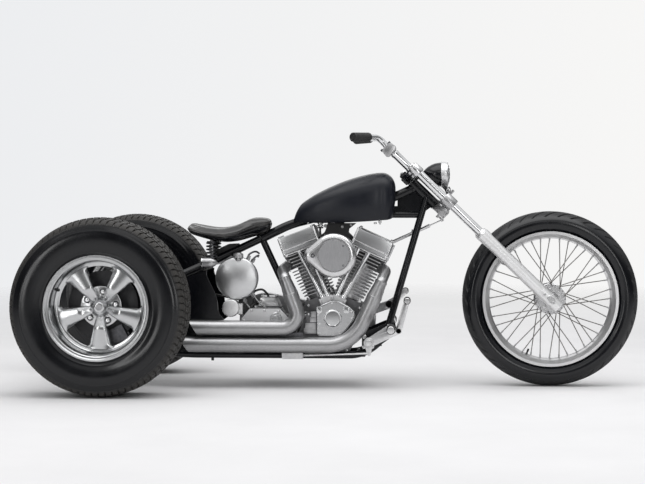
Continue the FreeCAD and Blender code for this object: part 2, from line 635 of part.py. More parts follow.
def engine_cases():
    main = plate(case_outline(), -CASE_HALF, CASE_HALF)
    wheel = disc(CRANK.x, CRANK.z, -CASE_HALF, CASE_HALF, 208)
    boss = disc(CRANK.x, CRANK.z, CASE_HALF - 1, PRIMARY_Y0, 150)
    pump = box(CRANK.x - 108, CRANK.x - 60, -CASE_HALF - 30, -CASE_HALF + 1, CRANK.z - 8, CRANK.z + 76)
    body = fuse([main, wheel, boss, cam_plate(CHEST_FACE, -CASE_HALF + 1), pump])
    return body.cut([deck_cutter("rear"), deck_cutter("front")])


COVER_BOSS_D, COVER_BOSS = 78.0, 5.0


def cam_cover():
    boss = disc(CRANK.x + 4, CRANK.z + 52, COVER_FACE - COVER_BOSS, COVER_FACE + 1, COVER_BOSS_D)
    return fuse([cam_plate(COVER_FACE, CHEST_FACE), boss])


#              cylinder, foot x and z from the crank, lean of the tube from the vertical
PUSHRODS = (("rear", -38, 130, -27.0), ("rear", -14, 134, -23.0),
            ("front", 16, 134, 24.0), ("front", 42, 128, 29.0))


def lifter_blocks():
    """Two blocks on the cam chest that the pushrod tubes stand on."""
    blocks = []
    for name, centre in (("rear", 22), ("front", -28)):
        block = rounded_slab(31, PUSHROD_Y - 15, -CASE_HALF - 5, 112, 140, 5)
        block = placed(moved(block, V(centre, 0, 0)), cylinder_frame(name))
        blocks.append(block.cut([cam_plate(CHEST_FACE, -CASE_HALF + 1)]))
    first, second = (largest(block) for block in blocks)
    return group([first, second.cut(first)])


def pushrod_tubes():
    """Four tubes from the cam chest to the rocker boxes, each on its lifter block."""
    tubes = []
    for name, x, z, lean in PUSHRODS:
        angle = math.radians(lean)
        up = V(math.sin(angle), 0, math.cos(angle))
        foot = CRANK + V(x, PUSHROD_Y, z) - up * 16
        tube = fuse([rod(foot, foot + up * 260, PUSHROD_D), rod(foot, foot + up * 30, PUSHROD_D + 7)])
        above = placed(box(-250, 250, -200, 200, HEAD_TOP, 700), cylinder_frame(name))
        below = [cam_plate(CHEST_FACE, -CASE_HALF + 1), plate(case_outline(), -CASE_HALF, 0)]
        tubes.append(largest(tube.cut([above, lifter_blocks()] + below)))
    return group(tubes)


INTAKE = V(CRANK.x + 12, 0, CRANK.z + 314)      # carburettor's axis between the cylinders
CLEANER_Y0, CLEANER_Y1 = -158.0, -214.0
CLEANER_D, CLEANER_TAIL, CLEANER_TAIL_D = 182.0, 92.0, 62.0


def carburettor():
    """Carburettor and the intake between the two heads."""
    body = disc(INTAKE.x, INTAKE.z, -150, -40, 58)
    bowl = box(INTAKE.x - 26, INTAKE.x + 26, -142, -98, INTAKE.z - 62, INTAKE.z)
    flange = disc(INTAKE.x, INTAKE.z, CLEANER_Y0, -148, 76)
    runner = box(INTAKE.x - 44, INTAKE.x + 44, -58, -14, INTAKE.z - 20, INTAKE.z + 20)
    solid = fuse([body, bowl, flange, runner])
    return solid.cut([cylinder("rear"), cylinder("front")])


def air_cleaner():
    """Teardrop cover, its point to the rear."""
    body = tapered((INTAKE.x, INTAKE.z), CLEANER_D, (INTAKE.x - CLEANER_TAIL, INTAKE.z),
                   CLEANER_TAIL_D, CLEANER_Y1, CLEANER_Y0)
    front = [e for e in body.Edges if e.BoundBox.YMax < CLEANER_Y1 + 1]
    return body.makeChamfer(7, front)


def top_engine_mount():
    """Bracket that ties the heads to the backbone, with the coil in front of it."""
    x, z = CRANK.x, CRANK.z
    coil = plate([(x - 22, z + 442), (x + 96, z + 442), (x + 66, z + 418), (x + 64, z + 404),
                  (x + 92, z + 376), (x + 66, z + 364), (x - 46, z + 364), (x - 64, z + 382),
                  (x - 34, z + 406), (x - 28, z + 420)], -62, 34)
    web = box(x + 6, x + 46, -9, 9, z + 400, z + 500)
    boxes = [rocker_box("rear"), rocker_box("front")]
    cut = fuse([coil, web]).cut([frame_backbone(), fuel_tank()] + boxes)
    return largest(cut)


def exhaust_port(name):
    """Middle of a head's exhaust port, front or back."""
    return cylinder_frame(name).multVec(V(EXHAUST_SIDE[name] * 60, PORT_Y, PORT_UP))


def head_block(name):
    """Solid block round a head and its fins."""
    block = box(-FIN_HALF_TOP, FIN_HALF_TOP, FIN_FRONT, FIN_BACK, DECK, HEAD_TOP)
    return placed(block, cylinder_frame(name))


def hollowed(pipe, tip, depth):
    """Bore a pipe from its open end and cut that end at a slant."""
    bore = rod(tip - V(60, 0, 0), tip + V(depth, 0, 0), PIPE_BORE)
    slash = plate([(tip.x - 90, tip.z + 60), (tip.x - 5, tip.z + 40), (tip.x + 45, tip.z - 40),
                   (tip.x + 45, tip.z - 60), (tip.x - 90, tip.z - 60)], tip.y - 60, tip.y + 60)
    return pipe.cut([bore, slash])


def header(path, bends, collar_at, cone_to):
    """Narrow pipe out of a head, with a collar and a cone that widens to the main pipe."""
    down = (cone_to - collar_at).normalize()
    narrow = bent_tube(path, HEADER_D, bends)
    collar = rod(collar_at - down * COLLAR / 2, collar_at + down * COLLAR / 2, HEADER_D + 6)
    cone = Part.makeCone(HEADER_D / 2 + 1, PIPE_D / 2, (cone_to - collar_at).Length, collar_at, down)
    return [narrow, collar, cone]


def exhaust(name, elbow, collar_at, cone_to, corner, tip, bend):
    """Header from a head's port, then the main pipe round its corner and back to the tip."""
    path = [exhaust_port(name), elbow, collar_at, cone_to]
    pieces = header(path, HEADER_BENDS, collar_at, cone_to)
    main = bent_tube([cone_to, corner, tip], PIPE_D, (bend,))
    return largest(fuse(pieces + [hollowed(main, tip, PIPE_BORE_DEPTH)]).cut(head_block(name)))


def exhaust_front():
    """Pipe from the front head, down past the cam cover and back along the lower line."""
    corner = V(CRANK.x + 87, PIPE_Y, LOWER_PIPE_Z)
    rise = V(0.41, 0, 0.912)
    elbow = V(CRANK.x + 221, -92, CRANK.z + 246)
    tip = V(REAR_X + 272, PIPE_Y, LOWER_PIPE_Z)
    return exhaust("front", elbow, corner + rise * 282, corner + rise * 218, corner, tip, 158)


def exhaust_rear():
    """Pipe from the rear head, down and round to the upper line."""
    corner = V(CRANK.x - 116, PIPE_Y, UPPER_PIPE_Z)
    rise = V(-0.345, 0, 0.9386)
    elbow = V(CRANK.x - 207, -92, CRANK.z + 249)
    tip = V(REAR_X + 312, PIPE_Y, UPPER_PIPE_Z)
    return exhaust("rear", elbow, corner + rise * 218, corner + rise * 150, corner, tip, 60)


PRIMARY_Y0, PRIMARY_Y1 = 95.0, 160.0
PRIMARY_FRONT_D, PRIMARY_REAR_D = 172.0, 222.0


def primary_cover():
    """Closed cover over the primary drive, on the left."""
    body = tapered((CRANK.x, CRANK.z), PRIMARY_FRONT_D, (TRANS_SHAFT.x, TRANS_SHAFT.z),
                   PRIMARY_REAR_D, PRIMARY_Y0, PRIMARY_Y1)
    outer = [e for e in body.Edges if e.BoundBox.YMin > PRIMARY_Y1 - 1]
    return body.makeFillet(12, outer)


TRANS_LEFT, TRANS_RIGHT, TRANS_COVER = 58.0, -76.0, -119.0


def transmission():
    """Gearbox with its lid, right-hand cover and the shaft to the primary drive."""
    x, z = CRANK.x, CRANK.z
    case = plate([(x - 366, z - 76), (x - 200, z - 76), (x - 200, z + 60), (x - 224, z + 92),
                  (x - 350, z + 92), (x - 374, z + 60)], TRANS_RIGHT, TRANS_LEFT)
    lid = plate([(x - 314, z + 91), (x - 218, z + 91), (x - 240, z + 136), (x - 301, z + 136)], -52, 38)
    cover = plate([(x - 375, z - 30), (x - 330, z - 70), (x - 214, z - 70), (x - 182, z - 30),
                   (x - 182, z + 55), (x - 215, z + 91), (x - 340, z + 91), (x - 375, z + 50)],
                  TRANS_COVER, TRANS_RIGHT)
    shaft = disc(TRANS_SHAFT.x, TRANS_SHAFT.z, TRANS_LEFT - 1, PRIMARY_Y0, MAIN_SHAFT_D)
    return fuse([case, lid, cover, shaft]).cut(frame_seat_post())


# ---- tanks, seat and lamps ------------------------------------------------------------------
OIL_TANK = V(CRANK.x - 397, 0, 449)
OIL_TANK_D, OIL_TANK_HALF = 178.0, 118.0
OIL_TANK_STEP, OIL_BODY_D = -62.0, 132.0


def oil_tank():
    """Round drum on the right, stepped down to a narrower body across the frame."""
    drum = disc(OIL_TANK.x, OIL_TANK.z, -OIL_TANK_HALF, OIL_TANK_STEP, OIL_TANK_D)
    ends = [e for e in drum.Edges if abs(e.BoundBox.YMax - e.BoundBox.YMin) < 1]
    body = disc(OIL_TANK.x, OIL_TANK.z, OIL_TANK_STEP - 1, OIL_TANK_HALF - 48, OIL_BODY_D)
    drum = fuse([drum.makeFillet(14, ends), body])
    neck = rod(OIL_TANK + V(7, -98, 80), OIL_TANK + V(7, -98, 98), 22)
    cap = rod(OIL_TANK + V(7, -98, 96), OIL_TANK + V(7, -98, 118), 36)
    ear = box(OIL_TANK.x - 50, OIL_TANK.x - 26, 32, 54, OIL_TANK.z + 40, OIL_TANK.z + 104)
    return largest(fuse([drum, neck, cap, ear, mirrored(ear)]).cut(frame_stays()))


def oil_filter():
    can = disc(CRANK.x - 420, 326, -124, -60, 72)
    bracket = box(CRANK.x - 385, CRANK.x - 374, -112, -78, 300, 345)
    arm = box(CRANK.x - 400, CRANK.x - 384, -100, -84, 310, 336)
    return fuse([can, arm, bracket]).cut(transmission())


#          x from crank, bottom z, top z, half width at the foot, at the middle
TANK_TABLE = ((-166, 678, 722, 34, 40), (-120, 676, 782, 62, 74), (10, 678, 862, 96, 110),
              (130, 685, 888, 104, 120), (205, 690, 886, 98, 110), (252, 696, 842, 82, 92))


def tank_section(x, low, top, foot, wide):
    """Flat-bottomed section with bulging sides and a round top."""
    middle = low + (top - low) * 0.42
    shoulder, shoulder_y = low + (top - low) * 0.82, wide * 0.74
    right = Part.Arc(V(x, -foot, low), V(x, -wide, middle), V(x, -shoulder_y, shoulder)).toShape()
    crown = Part.Arc(V(x, -shoulder_y, shoulder), V(x, 0, top), V(x, shoulder_y, shoulder)).toShape()
    left = Part.Arc(V(x, shoulder_y, shoulder), V(x, wide, middle), V(x, foot, low)).toShape()
    bottom = Part.makeLine(V(x, foot, low), V(x, -foot, low))
    return Part.Wire([right, crown, left, bottom])


def fuel_tank():
    """Tank astride the backbone, with a tunnel along its underside."""
    sections = [tank_section(CRANK.x + row[0], *row[1:]) for row in TANK_TABLE]
    body = Part.makeLoft(sections, True, False)
    return body.cut(plate(tunnel_outline(TUNNEL_LIFT), -TUNNEL_HALF, TUNNEL_HALF))


#          x from crank, bottom z, edge z, top z, half width
SEAT_TABLE = ((-606, 658, 664, 670, 60), (-570, 628, 640, 654, 128), (-470, 602, 622, 646, 142),
              (-370, 612, 634, 660, 104), (-300, 640, 664, 698, 58), (-264, 668, 678, 688, 26))


def seat_section(x, low, edge, top, wide):
    upper = Part.Arc(V(x, -wide, edge), V(x, 0, top), V(x, wide, edge)).toShape()
    lower = Part.Arc(V(x, wide, edge), V(x, 0, low), V(x, -wide, edge)).toShape()
    return Part.Wire([upper, lower])


def seat():
    """Solo seat pan and pad, as one closed form."""
    sections = [seat_section(CRANK.x + row[0], *row[1:]) for row in SEAT_TABLE]
    return Part.makeLoft(sections, True, False)


SPRING_X, SPRING_Y, SPRING_D, SPRING_WIRE = -504.0, 72.0, 50.0, 7.0


def seat_springs():
    """Two springs between the stays and the seat, each a stack of rings on a rod."""
    foot = V(CRANK.x + SPRING_X, SPRING_Y, 520)
    top = 612.0
    core = rod(foot, V(foot.x, foot.y, top), 14)
    saddle = rod(V(foot.x, foot.y, 536), V(foot.x, STAY_D / 2 + 40, 524), 14)
    rings, webs = [], []
    for turn in range(4):
        level, radius = 549 + 14 * turn, (SPRING_D - SPRING_WIRE) / 2 - 2 * (turn % 3 != 0)
        rings.append(Part.makeTorus(radius, SPRING_WIRE / 2, V(foot.x, foot.y, level)))
        webs.append(Part.makeCylinder(radius, 2, V(foot.x, foot.y, level - 1)))
    left = fuse([core, saddle] + rings + webs).cut([seat(), stay()])
    return both_sides(largest(left))


def seat_hinge():
    """Bracket that carries the seat's nose."""
    bracket = box(CRANK.x - 322, CRANK.x - 274, -12, 12, 620, 676)
    return largest(bracket.cut([frame_backbone(), frame_stays(), seat()]))


def electrics_box():
    """Low black box between the stays, under the seat."""
    x = CRANK.x
    outline = [(x - 494, 530), (x - 494, 556), (x - 470, 574), (x - 440, 588), (x - 400, 590),
               (x - 390, 578), (x - 390, 552), (x - 440, 543)]
    return plate(outline, -34, 34).cut([frame_stays(), frame_backbone(), oil_tank()])


LAMP = V(CRANK.x - 469, 150, 516)       # nose of the left marker lamp
LAMP_D, LAMP_LENGTH, LAMP_STALK = 43.0, 68.0, -34.0


def marker_lamps():
    """Bullet lamps beside the stays, lens to the rear, each on a short stalk."""
    bullet = turned_nose(LAMP_D / 2, LAMP_LENGTH * 0.45, LAMP_LENGTH * 0.55, 4.0)
    bullet.rotate(V(0, 0, 0), V(0, 0, 1), 180)
    stalk = rod(V(LAMP_STALK, -110, -4), V(LAMP_STALK, 4 - LAMP_D / 2, 0), 12)
    left = fuse([moved(bullet, V(-LAMP_LENGTH * 0.55, 0, 0)), stalk])
    return both_sides(largest(moved(left, LAMP).cut(stay())))


# ---- foot controls --------------------------------------------------------------------------
CONTROL = V(CRANK.x + 153, 0, 192)      # pivot of the foot levers
CONTROL_IN, CONTROL_OUT = 108.0, 196.0
PEG_LENGTH, PEG_D = 104.0, 36.0
ELBOW, PEDAL, PEG, ROD_EYE = V(122, 0, 49), V(157, 0, 175), V(92, 0, 61), V(1, 0, -44)
BLADE = (V(8, 0, 106), V(78, 0, 131), V(112, 0, 156), V(148, 0, 188))   # shift lever, from its pivot
BLADE_WIDTH = (38.0, 36.0, 28.0, 22.0)


def off_pivot(point, y):
    """Place given from the foot levers' pivot, at a y."""
    return V(CONTROL.x + point.x, y, CONTROL.z + point.z)


def flat(point):
    """The (x, z) corner of a place given from the pivot."""
    return CONTROL.x + point.x, CONTROL.z + point.z


LEVER_Y0, LEVER_Y1 = 186.0, 197.0


def peg_and_pivot():
    """Pivot shaft with its boss, and the peg on its arm, left side."""
    pivot = disc(CONTROL.x, CONTROL.z, CONTROL_IN, CONTROL_OUT, 30)
    boss = disc(CONTROL.x, CONTROL.z, LEVER_Y0 - 8, LEVER_Y1 + 3, 42)
    arm = tapered(flat(V(0, 0, 0)), 34, flat(PEG), 30, LEVER_Y0 - 16, LEVER_Y0 - 4)
    stub = rod(off_pivot(PEG, LEVER_Y0 - 10), off_pivot(PEG, LEVER_Y1 + 6), 24)
    peg = rod(off_pivot(PEG, LEVER_Y1 + 6), off_pivot(PEG, LEVER_Y1 + 6 + PEG_LENGTH), PEG_D)
    return [pivot, boss, arm, stub, peg]


def control_bracket():
    """Plate on the downtube that carries the pivot, left side."""
    at = CONTROL
    outline = [(at.x - 30, at.z - 34), (at.x + 24, at.z - 34), (at.x + 112, at.z + 30),
               (at.x + 100, at.z + 76), (at.x + 66, at.z + 70), (at.x - 30, at.z + 30)]
    sheet = plate(outline, CONTROL_IN - 10, CONTROL_IN)
    lug = box(at.x + 20, at.x + 52, RAIL_SPREAD - 10, CONTROL_IN - 9, at.z - 22, at.z + 26)
    return fuse([sheet, lug]).cut(downtube())


def control_brackets():
    return both_sides(control_bracket())


def foot_controls_right():
    """Brake lever with its pedal and the arm that pulls the rod."""
    lower = tapered(flat(V(0, 0, 0)), 40, flat(ELBOW), 26, LEVER_Y0, LEVER_Y1)
    upper = tapered(flat(ELBOW), 26, flat(PEDAL), 22, LEVER_Y0, LEVER_Y1)
    pedal = rod(off_pivot(PEDAL, LEVER_Y0 - 4), off_pivot(PEDAL, LEVER_Y1 + 50), 29)
    tail = tapered(flat(V(0, 0, 0)), 34, flat(ROD_EYE), 18, LEVER_Y0, LEVER_Y1)
    return mirrored(fuse(peg_and_pivot() + [lower, upper, pedal, tail]))


def foot_controls_left():
    """Shift lever: a curved blade with its toe peg."""
    arm = tapered(flat(V(0, 0, 0)), 36, flat(BLADE[0]), 30, LEVER_Y0, LEVER_Y1)
    pieces = peg_and_pivot() + [arm]
    for here, there, wide, narrow in zip(BLADE, BLADE[1:], BLADE_WIDTH, BLADE_WIDTH[1:]):
        pieces.append(tapered(flat(here), wide, flat(there), narrow, LEVER_Y0, LEVER_Y1))
    toe = rod(off_pivot(BLADE[-1], LEVER_Y0 - 4), off_pivot(BLADE[-1], LEVER_Y1 + 50), 27)
    return fuse(pieces + [toe])


def brake_linkage():
    """Rod from the brake lever back to the master cylinder under the frame."""
    eye = off_pivot(ROD_EYE, -LEVER_Y0)
    cylinder_x = CRANK.x - 120
    link = rod(eye, V(cylinder_x, -122, RAIL_HEIGHT + 1), 9)
    block = box(cylinder_x - 86, cylinder_x, -136, -RAIL_SPREAD - CRADLE_D / 2 - 0.3,
                RAIL_HEIGHT - 13, RAIL_HEIGHT + 12)
    return largest(fuse([link, block]).cut(foot_controls_right()))


# ---- steering: everything below is drawn in the steering frame, z up the axis ---------------
def leg(radius_d, low, high):
    return Part.makeCylinder(radius_d / 2, high - low, V(LEG_OFFSET, LEG_Y, low))


def tree(low, high, web_back, web_ahead):
    """Clamp round both legs with a web across to the stem."""
    ends = Part.makeCylinder(TUBE_D / 2 + 11, high - low, V(LEG_OFFSET, LEG_Y, low))
    middle = box(web_back, web_ahead, -LEG_Y * 0.55, LEG_Y * 0.55, low, high)
    wing = Part.Face(Part.makePolygon([
        V(web_back, 40, low), V(web_ahead, 40, low), V(LEG_OFFSET + 22, LEG_Y + 2, low),
        V(LEG_OFFSET - 22, LEG_Y + 2, low), V(web_back, 40, low)])).extrude(V(0, 0, high - low))
    return fuse([middle, ends, mirrored(ends), wing, mirrored(wing)])


def leg_bores():
    bore = leg(TUBE_D, -SLIDER_TOP, 400)
    return [bore, mirrored(bore)]


TOP_OF_UPPER = NECK_LENGTH + TREE_GAP + UPPER_TREE
LAMP_AHEAD, LAMP_UP = 120.0, 58.0       # headlight's middle in the steering frame
SHELL_DEPTH, SHELL_LIP = 80.0, 4.0
RING_BACK, RING_FRONT, LENS_BULGE = 16.0, 10.0, 8.0
SWIVEL_AHEAD, SWIVEL_D, SHELF_DROP = 80.0, 26.0, 6.0


def fork_lower_tree():
    """Lower clamp, the stem through the neck and the headlight's shelf."""
    body = tree(-TREE_GAP - LOWER_TREE, -TREE_GAP, -20, 44)
    stem = Part.makeCylinder(STEM_D / 2, NECK_LENGTH + LOWER_TREE, V(0, 0, -LOWER_TREE))
    shelf = box(40, SWIVEL_AHEAD + 16, -17, 17, -SHELF_DROP - 11, -SHELF_DROP)
    lug_top = -TREE_GAP - LOWER_TREE + 2 * DAMPER_LUG
    lug = box(DAMPER_EYE.x - 9, -19, DAMPER_EYE.y - 11, DAMPER_EYE.y + 11, lug_top - DAMPER_LUG, lug_top)
    pin_end = DAMPER_EYE.z + DAMPER_EYE_THICK / 2 + DAMPER_PIN_GAP
    pin = Part.makeCylinder(4, lug_top - 1 - pin_end, V(DAMPER_EYE.x, DAMPER_EYE.y, pin_end))
    return placed(fuse([body, stem, shelf, lug, pin]).cut(leg_bores()), STEER)


DAMPER_D, DAMPER_ROD_D, DAMPER_EYE_D, DAMPER_EYE_THICK = 16.0, 6.0, 16.0, 8.0
DAMPER_EYE = V(-26.0, 52.0, -64.0)      # in the steering frame
DAMPER_TAIL = V(CRANK.x + 251, 52.0, 597.0)
DAMPER_BODY, DAMPER_PIN_GAP, DAMPER_LUG = 168.0, 3.0, 10.0


def steering_damper():
    """Damper clamped to the left downtube; its rod's eye lies under the lower tree's pin."""
    eye = STEER.multVec(DAMPER_EYE)
    along = (eye - DAMPER_TAIL).normalize()
    body = rod(DAMPER_TAIL, DAMPER_TAIL + along * DAMPER_BODY, DAMPER_D)
    link = rod(DAMPER_TAIL + along * (DAMPER_BODY - 5), eye, DAMPER_ROD_D)
    eye_foot = DAMPER_EYE - V(0, 0, DAMPER_EYE_THICK / 2)
    ring_shape = placed(Part.makeCylinder(DAMPER_EYE_D / 2, DAMPER_EYE_THICK, eye_foot), STEER)
    crossing = DAMPER_TAIL + along * 97
    band = rod(crossing - along * 11, crossing + along * 11, DAMPER_D + 6)
    block = box(crossing.x - 12, crossing.x + 12, 26, DAMPER_TAIL.y, crossing.z - 12, crossing.z + 12)
    return fuse([body, link, ring_shape, band, block]).cut(downtube())


def fork_upper_tree():
    body = tree(NECK_LENGTH + TREE_GAP, TOP_OF_UPPER, -20, 40).cut(leg_bores())
    nut = Part.makeCylinder(17, 14, V(0, 0, TOP_OF_UPPER - 1))
    stem = Part.makeCylinder(STEM_D / 2 - 1, NECK_LENGTH, V(0, 0, LOWER_TREE))
    return placed(fuse([body, nut]).cut(stem), STEER)


def fork_tubes():
    left = leg(TUBE_D, -SLIDER_TOP, TOP_OF_UPPER + 5)
    return group([placed(left, STEER), placed(mirrored(left), STEER)])


def fork_sliders():
    """Lower legs with the axle clamp at their feet."""
    body = Part.makeCylinder(SLIDER_D / 2, SLIDER_END - SLIDER_TOP, V(LEG_OFFSET, LEG_Y, -SLIDER_END))
    collar = leg(SLIDER_D + 4, -SLIDER_TOP - 16, -SLIDER_TOP - 2)
    boss = box(LEG_OFFSET - 15, LEG_OFFSET + 15, LEG_Y, LEG_Y + SLIDER_D / 2 + 4,
               -AXLE_DROP - 16, -AXLE_DROP + 56)
    axle = disc(AXLE_OFFSET, -AXLE_DROP, 0, 200, FRONT_AXLE_D)
    left = fuse([body, collar, boss]).cut([axle, leg(TUBE_D, -SLIDER_TOP - 1, 0)])
    return group([placed(left, STEER), placed(mirrored(left), STEER)])


def front_axle():
    """Axle with its two spacers and heads."""
    outer = LEG_Y + SLIDER_D / 2 + 8
    inner = LEG_Y - SLIDER_D / 2
    shaft = disc(AXLE_OFFSET, -AXLE_DROP, -outer, outer, FRONT_AXLE_D)
    spacer = disc(AXLE_OFFSET, -AXLE_DROP, HUB_END + FACE_GAP, inner, 32)
    head = disc(AXLE_OFFSET, -AXLE_DROP, outer - 4, outer, 28)
    return placed(fuse([shaft, spacer, mirrored(spacer), head, mirrored(head)]), STEER)


def handlebar():
    """Risers, bar clamps, the cross tube and a bar to each grip."""
    y = RISER_SPACING / 2
    to_local = STEER.inverse()
    riser_height = BAR_CLAMP - 20 - TOP_OF_UPPER
    riser = Part.makeCylinder(RISER_D / 2, riser_height, V(RISER_OFFSET, y, TOP_OF_UPPER))
    clamp = box(RISER_OFFSET - 29, RISER_OFFSET + 19, y - 19, y + 19, BAR_CLAMP - 22, BAR_CLAMP + 24)
    cross = disc(RISER_OFFSET - 4, BAR_CLAMP, -y, y, BAR_D)
    end = to_local.multVec(GRIP_END)
    bend = to_local.multVec(BAR_BEND)
    inward = (bend - end).normalize()
    bar = bent_tube([V(RISER_OFFSET, y, BAR_CLAMP), bend, end + inward * 4], BAR_D, (34,))
    side = fuse([riser, clamp, bar])
    return placed(fuse([side, mirrored(side), cross]), STEER)


def grips():
    inward = (BAR_BEND - GRIP_END).normalize()
    sleeve = rod(GRIP_END, GRIP_END + inward * GRIP_LENGTH, GRIP_D)
    left = sleeve.cut(rod(GRIP_END + inward * 4, GRIP_END + inward * (GRIP_LENGTH + 5), BAR_D))
    return both_sides(left)


def headlight_middle():
    return STEER.multVec(V(LAMP_AHEAD, 0, LAMP_UP))


def headlight_shell():
    """Bucket, its neck down to the shelf and the bolt under it."""
    at = headlight_middle()
    nose = turned_nose(HEADLIGHT_D / 2 - 4, SHELL_LIP, SHELL_DEPTH, 8.0)
    bucket = moved(nose, at + V(-RING_BACK - SHELL_LIP, 0, 0))
    swivel = STEER.multVec(V(SWIVEL_AHEAD, 0, SWIVEL_D / 2 - SHELF_DROP))
    ball = Part.makeSphere(SWIVEL_D / 2, swivel)
    post = rod(swivel, at + V(-RING_BACK - 8, 0, -30), 20)
    return fuse([bucket, post, ball]).cut(fork_lower_tree())


def headlight_ring():
    """Trim ring and lens."""
    at = headlight_middle()
    radius = HEADLIGHT_D / 2
    rim = Part.makeCylinder(radius, RING_BACK + RING_FRONT, at - V(RING_BACK, 0, 0), V(1, 0, 0))
    curve = (radius ** 2 + LENS_BULGE ** 2) / (2 * LENS_BULGE)
    ball = Part.makeSphere(curve, at + V(RING_FRONT + LENS_BULGE - curve, 0, 0))
    cap = ball.common(Part.makeCylinder(radius - 1, 40, at, V(1, 0, 0)))
    return fuse([rim, cap]).cut([headlight_shell(), fork_lower_tree()])


# ---- the parts and where they go ------------------------------------------------------------
def rear_pair(make, name):
    """A left and a right copy of a rear wheel piece."""
    piece = make()
    left = moved(piece, V(REAR_X, TRACK / 2, REAR_R))
    right = moved(mirrored(piece), V(REAR_X, -TRACK / 2, REAR_R))
    return {name + "_left": left, name + "_right": right}


def front_centre(shape):
    return moved(shape, V(FRONT_X, 0, FRONT_R))


def build():
    nodes = {}
    for maker in (frame_backbone, frame_downtubes, frame_rails, frame_seat_post, frame_stays,
                  axle_carriers, frame_crossmembers, rear_axle_housing, rear_brake_calipers,
                  steering_damper, control_brackets, electrics_box, lifter_blocks, rocker_drains,
                  final_drive_belt, final_drive_pulleys, engine_cases, cam_cover, pushrod_tubes,
                  carburettor, air_cleaner, top_engine_mount, exhaust_front, exhaust_rear,
                  primary_cover, transmission, oil_tank, oil_filter, fuel_tank, seat,
                  seat_springs, seat_hinge, marker_lamps, foot_controls_left,
                  foot_controls_right, brake_linkage, fork_lower_tree, fork_upper_tree,
                  fork_tubes, fork_sliders, front_axle, handlebar, grips, headlight_shell,
                  headlight_ring):
        nodes[maker.__name__] = maker()
    for name in CYLINDERS:
        nodes["cylinder_" + name] = cylinder(name)
        nodes["rocker_box_" + name] = rocker_box(name)
    for maker, name in ((rear_tyre, "rear_tyre"), (rear_rim, "rear_rim"), (rear_hub, "rear_hub")):
        nodes.update(rear_pair(maker, name))
    for maker in (front_tyre, front_rim, front_hub, front_spokes):
        nodes[maker.__name__] = front_centre(maker())
    return nodes


os.makedirs("parts", exist_ok=True)
for node, shape in build().items():
    shape.exportStep(os.path.join("parts", node + ".step"))
    print(node, len(shape.Solids), "solids", round(shape.Volume / 1000), "cm3", shape.isValid())
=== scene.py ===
"""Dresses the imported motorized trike: materials, tyres, wheels, seat, fittings, light and camera.

Metres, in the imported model's own frame: +X forward, +Y left, +Z up, the floor at z = 0.
"""

from math import asin, atan2, copysign, cos, exp, hypot, pi, radians, sin, sqrt

import bmesh
import bpy
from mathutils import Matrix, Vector
from mathutils.bvhtree import BVHTree


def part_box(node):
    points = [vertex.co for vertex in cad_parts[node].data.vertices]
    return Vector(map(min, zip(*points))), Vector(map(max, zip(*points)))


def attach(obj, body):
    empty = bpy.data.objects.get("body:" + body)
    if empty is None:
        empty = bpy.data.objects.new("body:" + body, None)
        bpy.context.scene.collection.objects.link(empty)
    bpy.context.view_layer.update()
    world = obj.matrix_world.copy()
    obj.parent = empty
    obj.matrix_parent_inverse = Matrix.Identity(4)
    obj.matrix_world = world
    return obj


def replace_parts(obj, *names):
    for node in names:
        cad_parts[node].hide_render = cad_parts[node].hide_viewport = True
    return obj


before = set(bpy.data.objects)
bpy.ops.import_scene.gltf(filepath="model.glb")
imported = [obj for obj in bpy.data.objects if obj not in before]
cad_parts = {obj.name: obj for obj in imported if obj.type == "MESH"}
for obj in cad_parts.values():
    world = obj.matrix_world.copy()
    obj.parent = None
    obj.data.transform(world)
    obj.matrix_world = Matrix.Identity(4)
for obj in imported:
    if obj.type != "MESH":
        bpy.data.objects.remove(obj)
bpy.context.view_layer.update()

MM = 0.001
TAU = 2 * pi


def centre(node):
    low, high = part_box(node)
    return (low + high) / 2


REAR = {"left": centre("rear_tyre_left"), "right": centre("rear_tyre_right")}
FRONT = centre("front_tyre")

# The part's own datums, in millimetres: steering axis, neck, crankshaft and cylinders.
RAKE = radians(46.0)
DOWN = Vector((sin(RAKE), 0, -cos(RAKE)))
AHEAD = Vector((cos(RAKE), 0, sin(RAKE)))
RIGHT, LEFT, UP = Vector((0, -1, 0)), Vector((0, 1, 0)), Vector((0, 0, 1))
NECK = FRONT / MM - DOWN * 612 - AHEAD * 50
CRANK = Vector((NECK.x - 427.2, 0, 234))
LEANS = {"rear": radians(-20.5), "front": radians(24.5)}


def steer(x, y, z):
    """Place in the steering frame: x ahead of the axis, z up it from the neck's lower end."""
    return NECK + AHEAD * x + LEFT * y - DOWN * z


def up_cylinder(name):
    return Vector((sin(LEANS[name]), 0, cos(LEANS[name])))


def on_cylinder(name, x, y, z):
    """Place in a cylinder's frame: z up its axis from the crankshaft."""
    up = up_cylinder(name)
    return CRANK + Vector((up.z, 0, -up.x)) * x + LEFT * y + up * z


def from_crank(x, y, z):
    """Place given by its distance from the crankshaft along X and Z."""
    return Vector((CRANK.x + x, y, CRANK.z + z))


def around(radius, angle, y=0):
    """Offset from an axis along Y."""
    return Vector((radius * cos(angle), y, radius * sin(angle)))


# ---- material nodes -------------------------------------------------------------------------
def material(name, colour, metallic=0.0, roughness=0.4, **sockets):
    """New material whose uniform values sit on the shader's own sockets."""
    made = bpy.data.materials.new(name)
    made.use_nodes = True
    shader = made.node_tree.nodes["Principled BSDF"]
    shader.inputs["Base Color"].default_value = (*colour, 1)
    shader.inputs["Metallic"].default_value = metallic
    shader.inputs["Roughness"].default_value = roughness
    for key, value in sockets.items():
        shader.inputs[key.replace("_", " ")].default_value = value
    return made


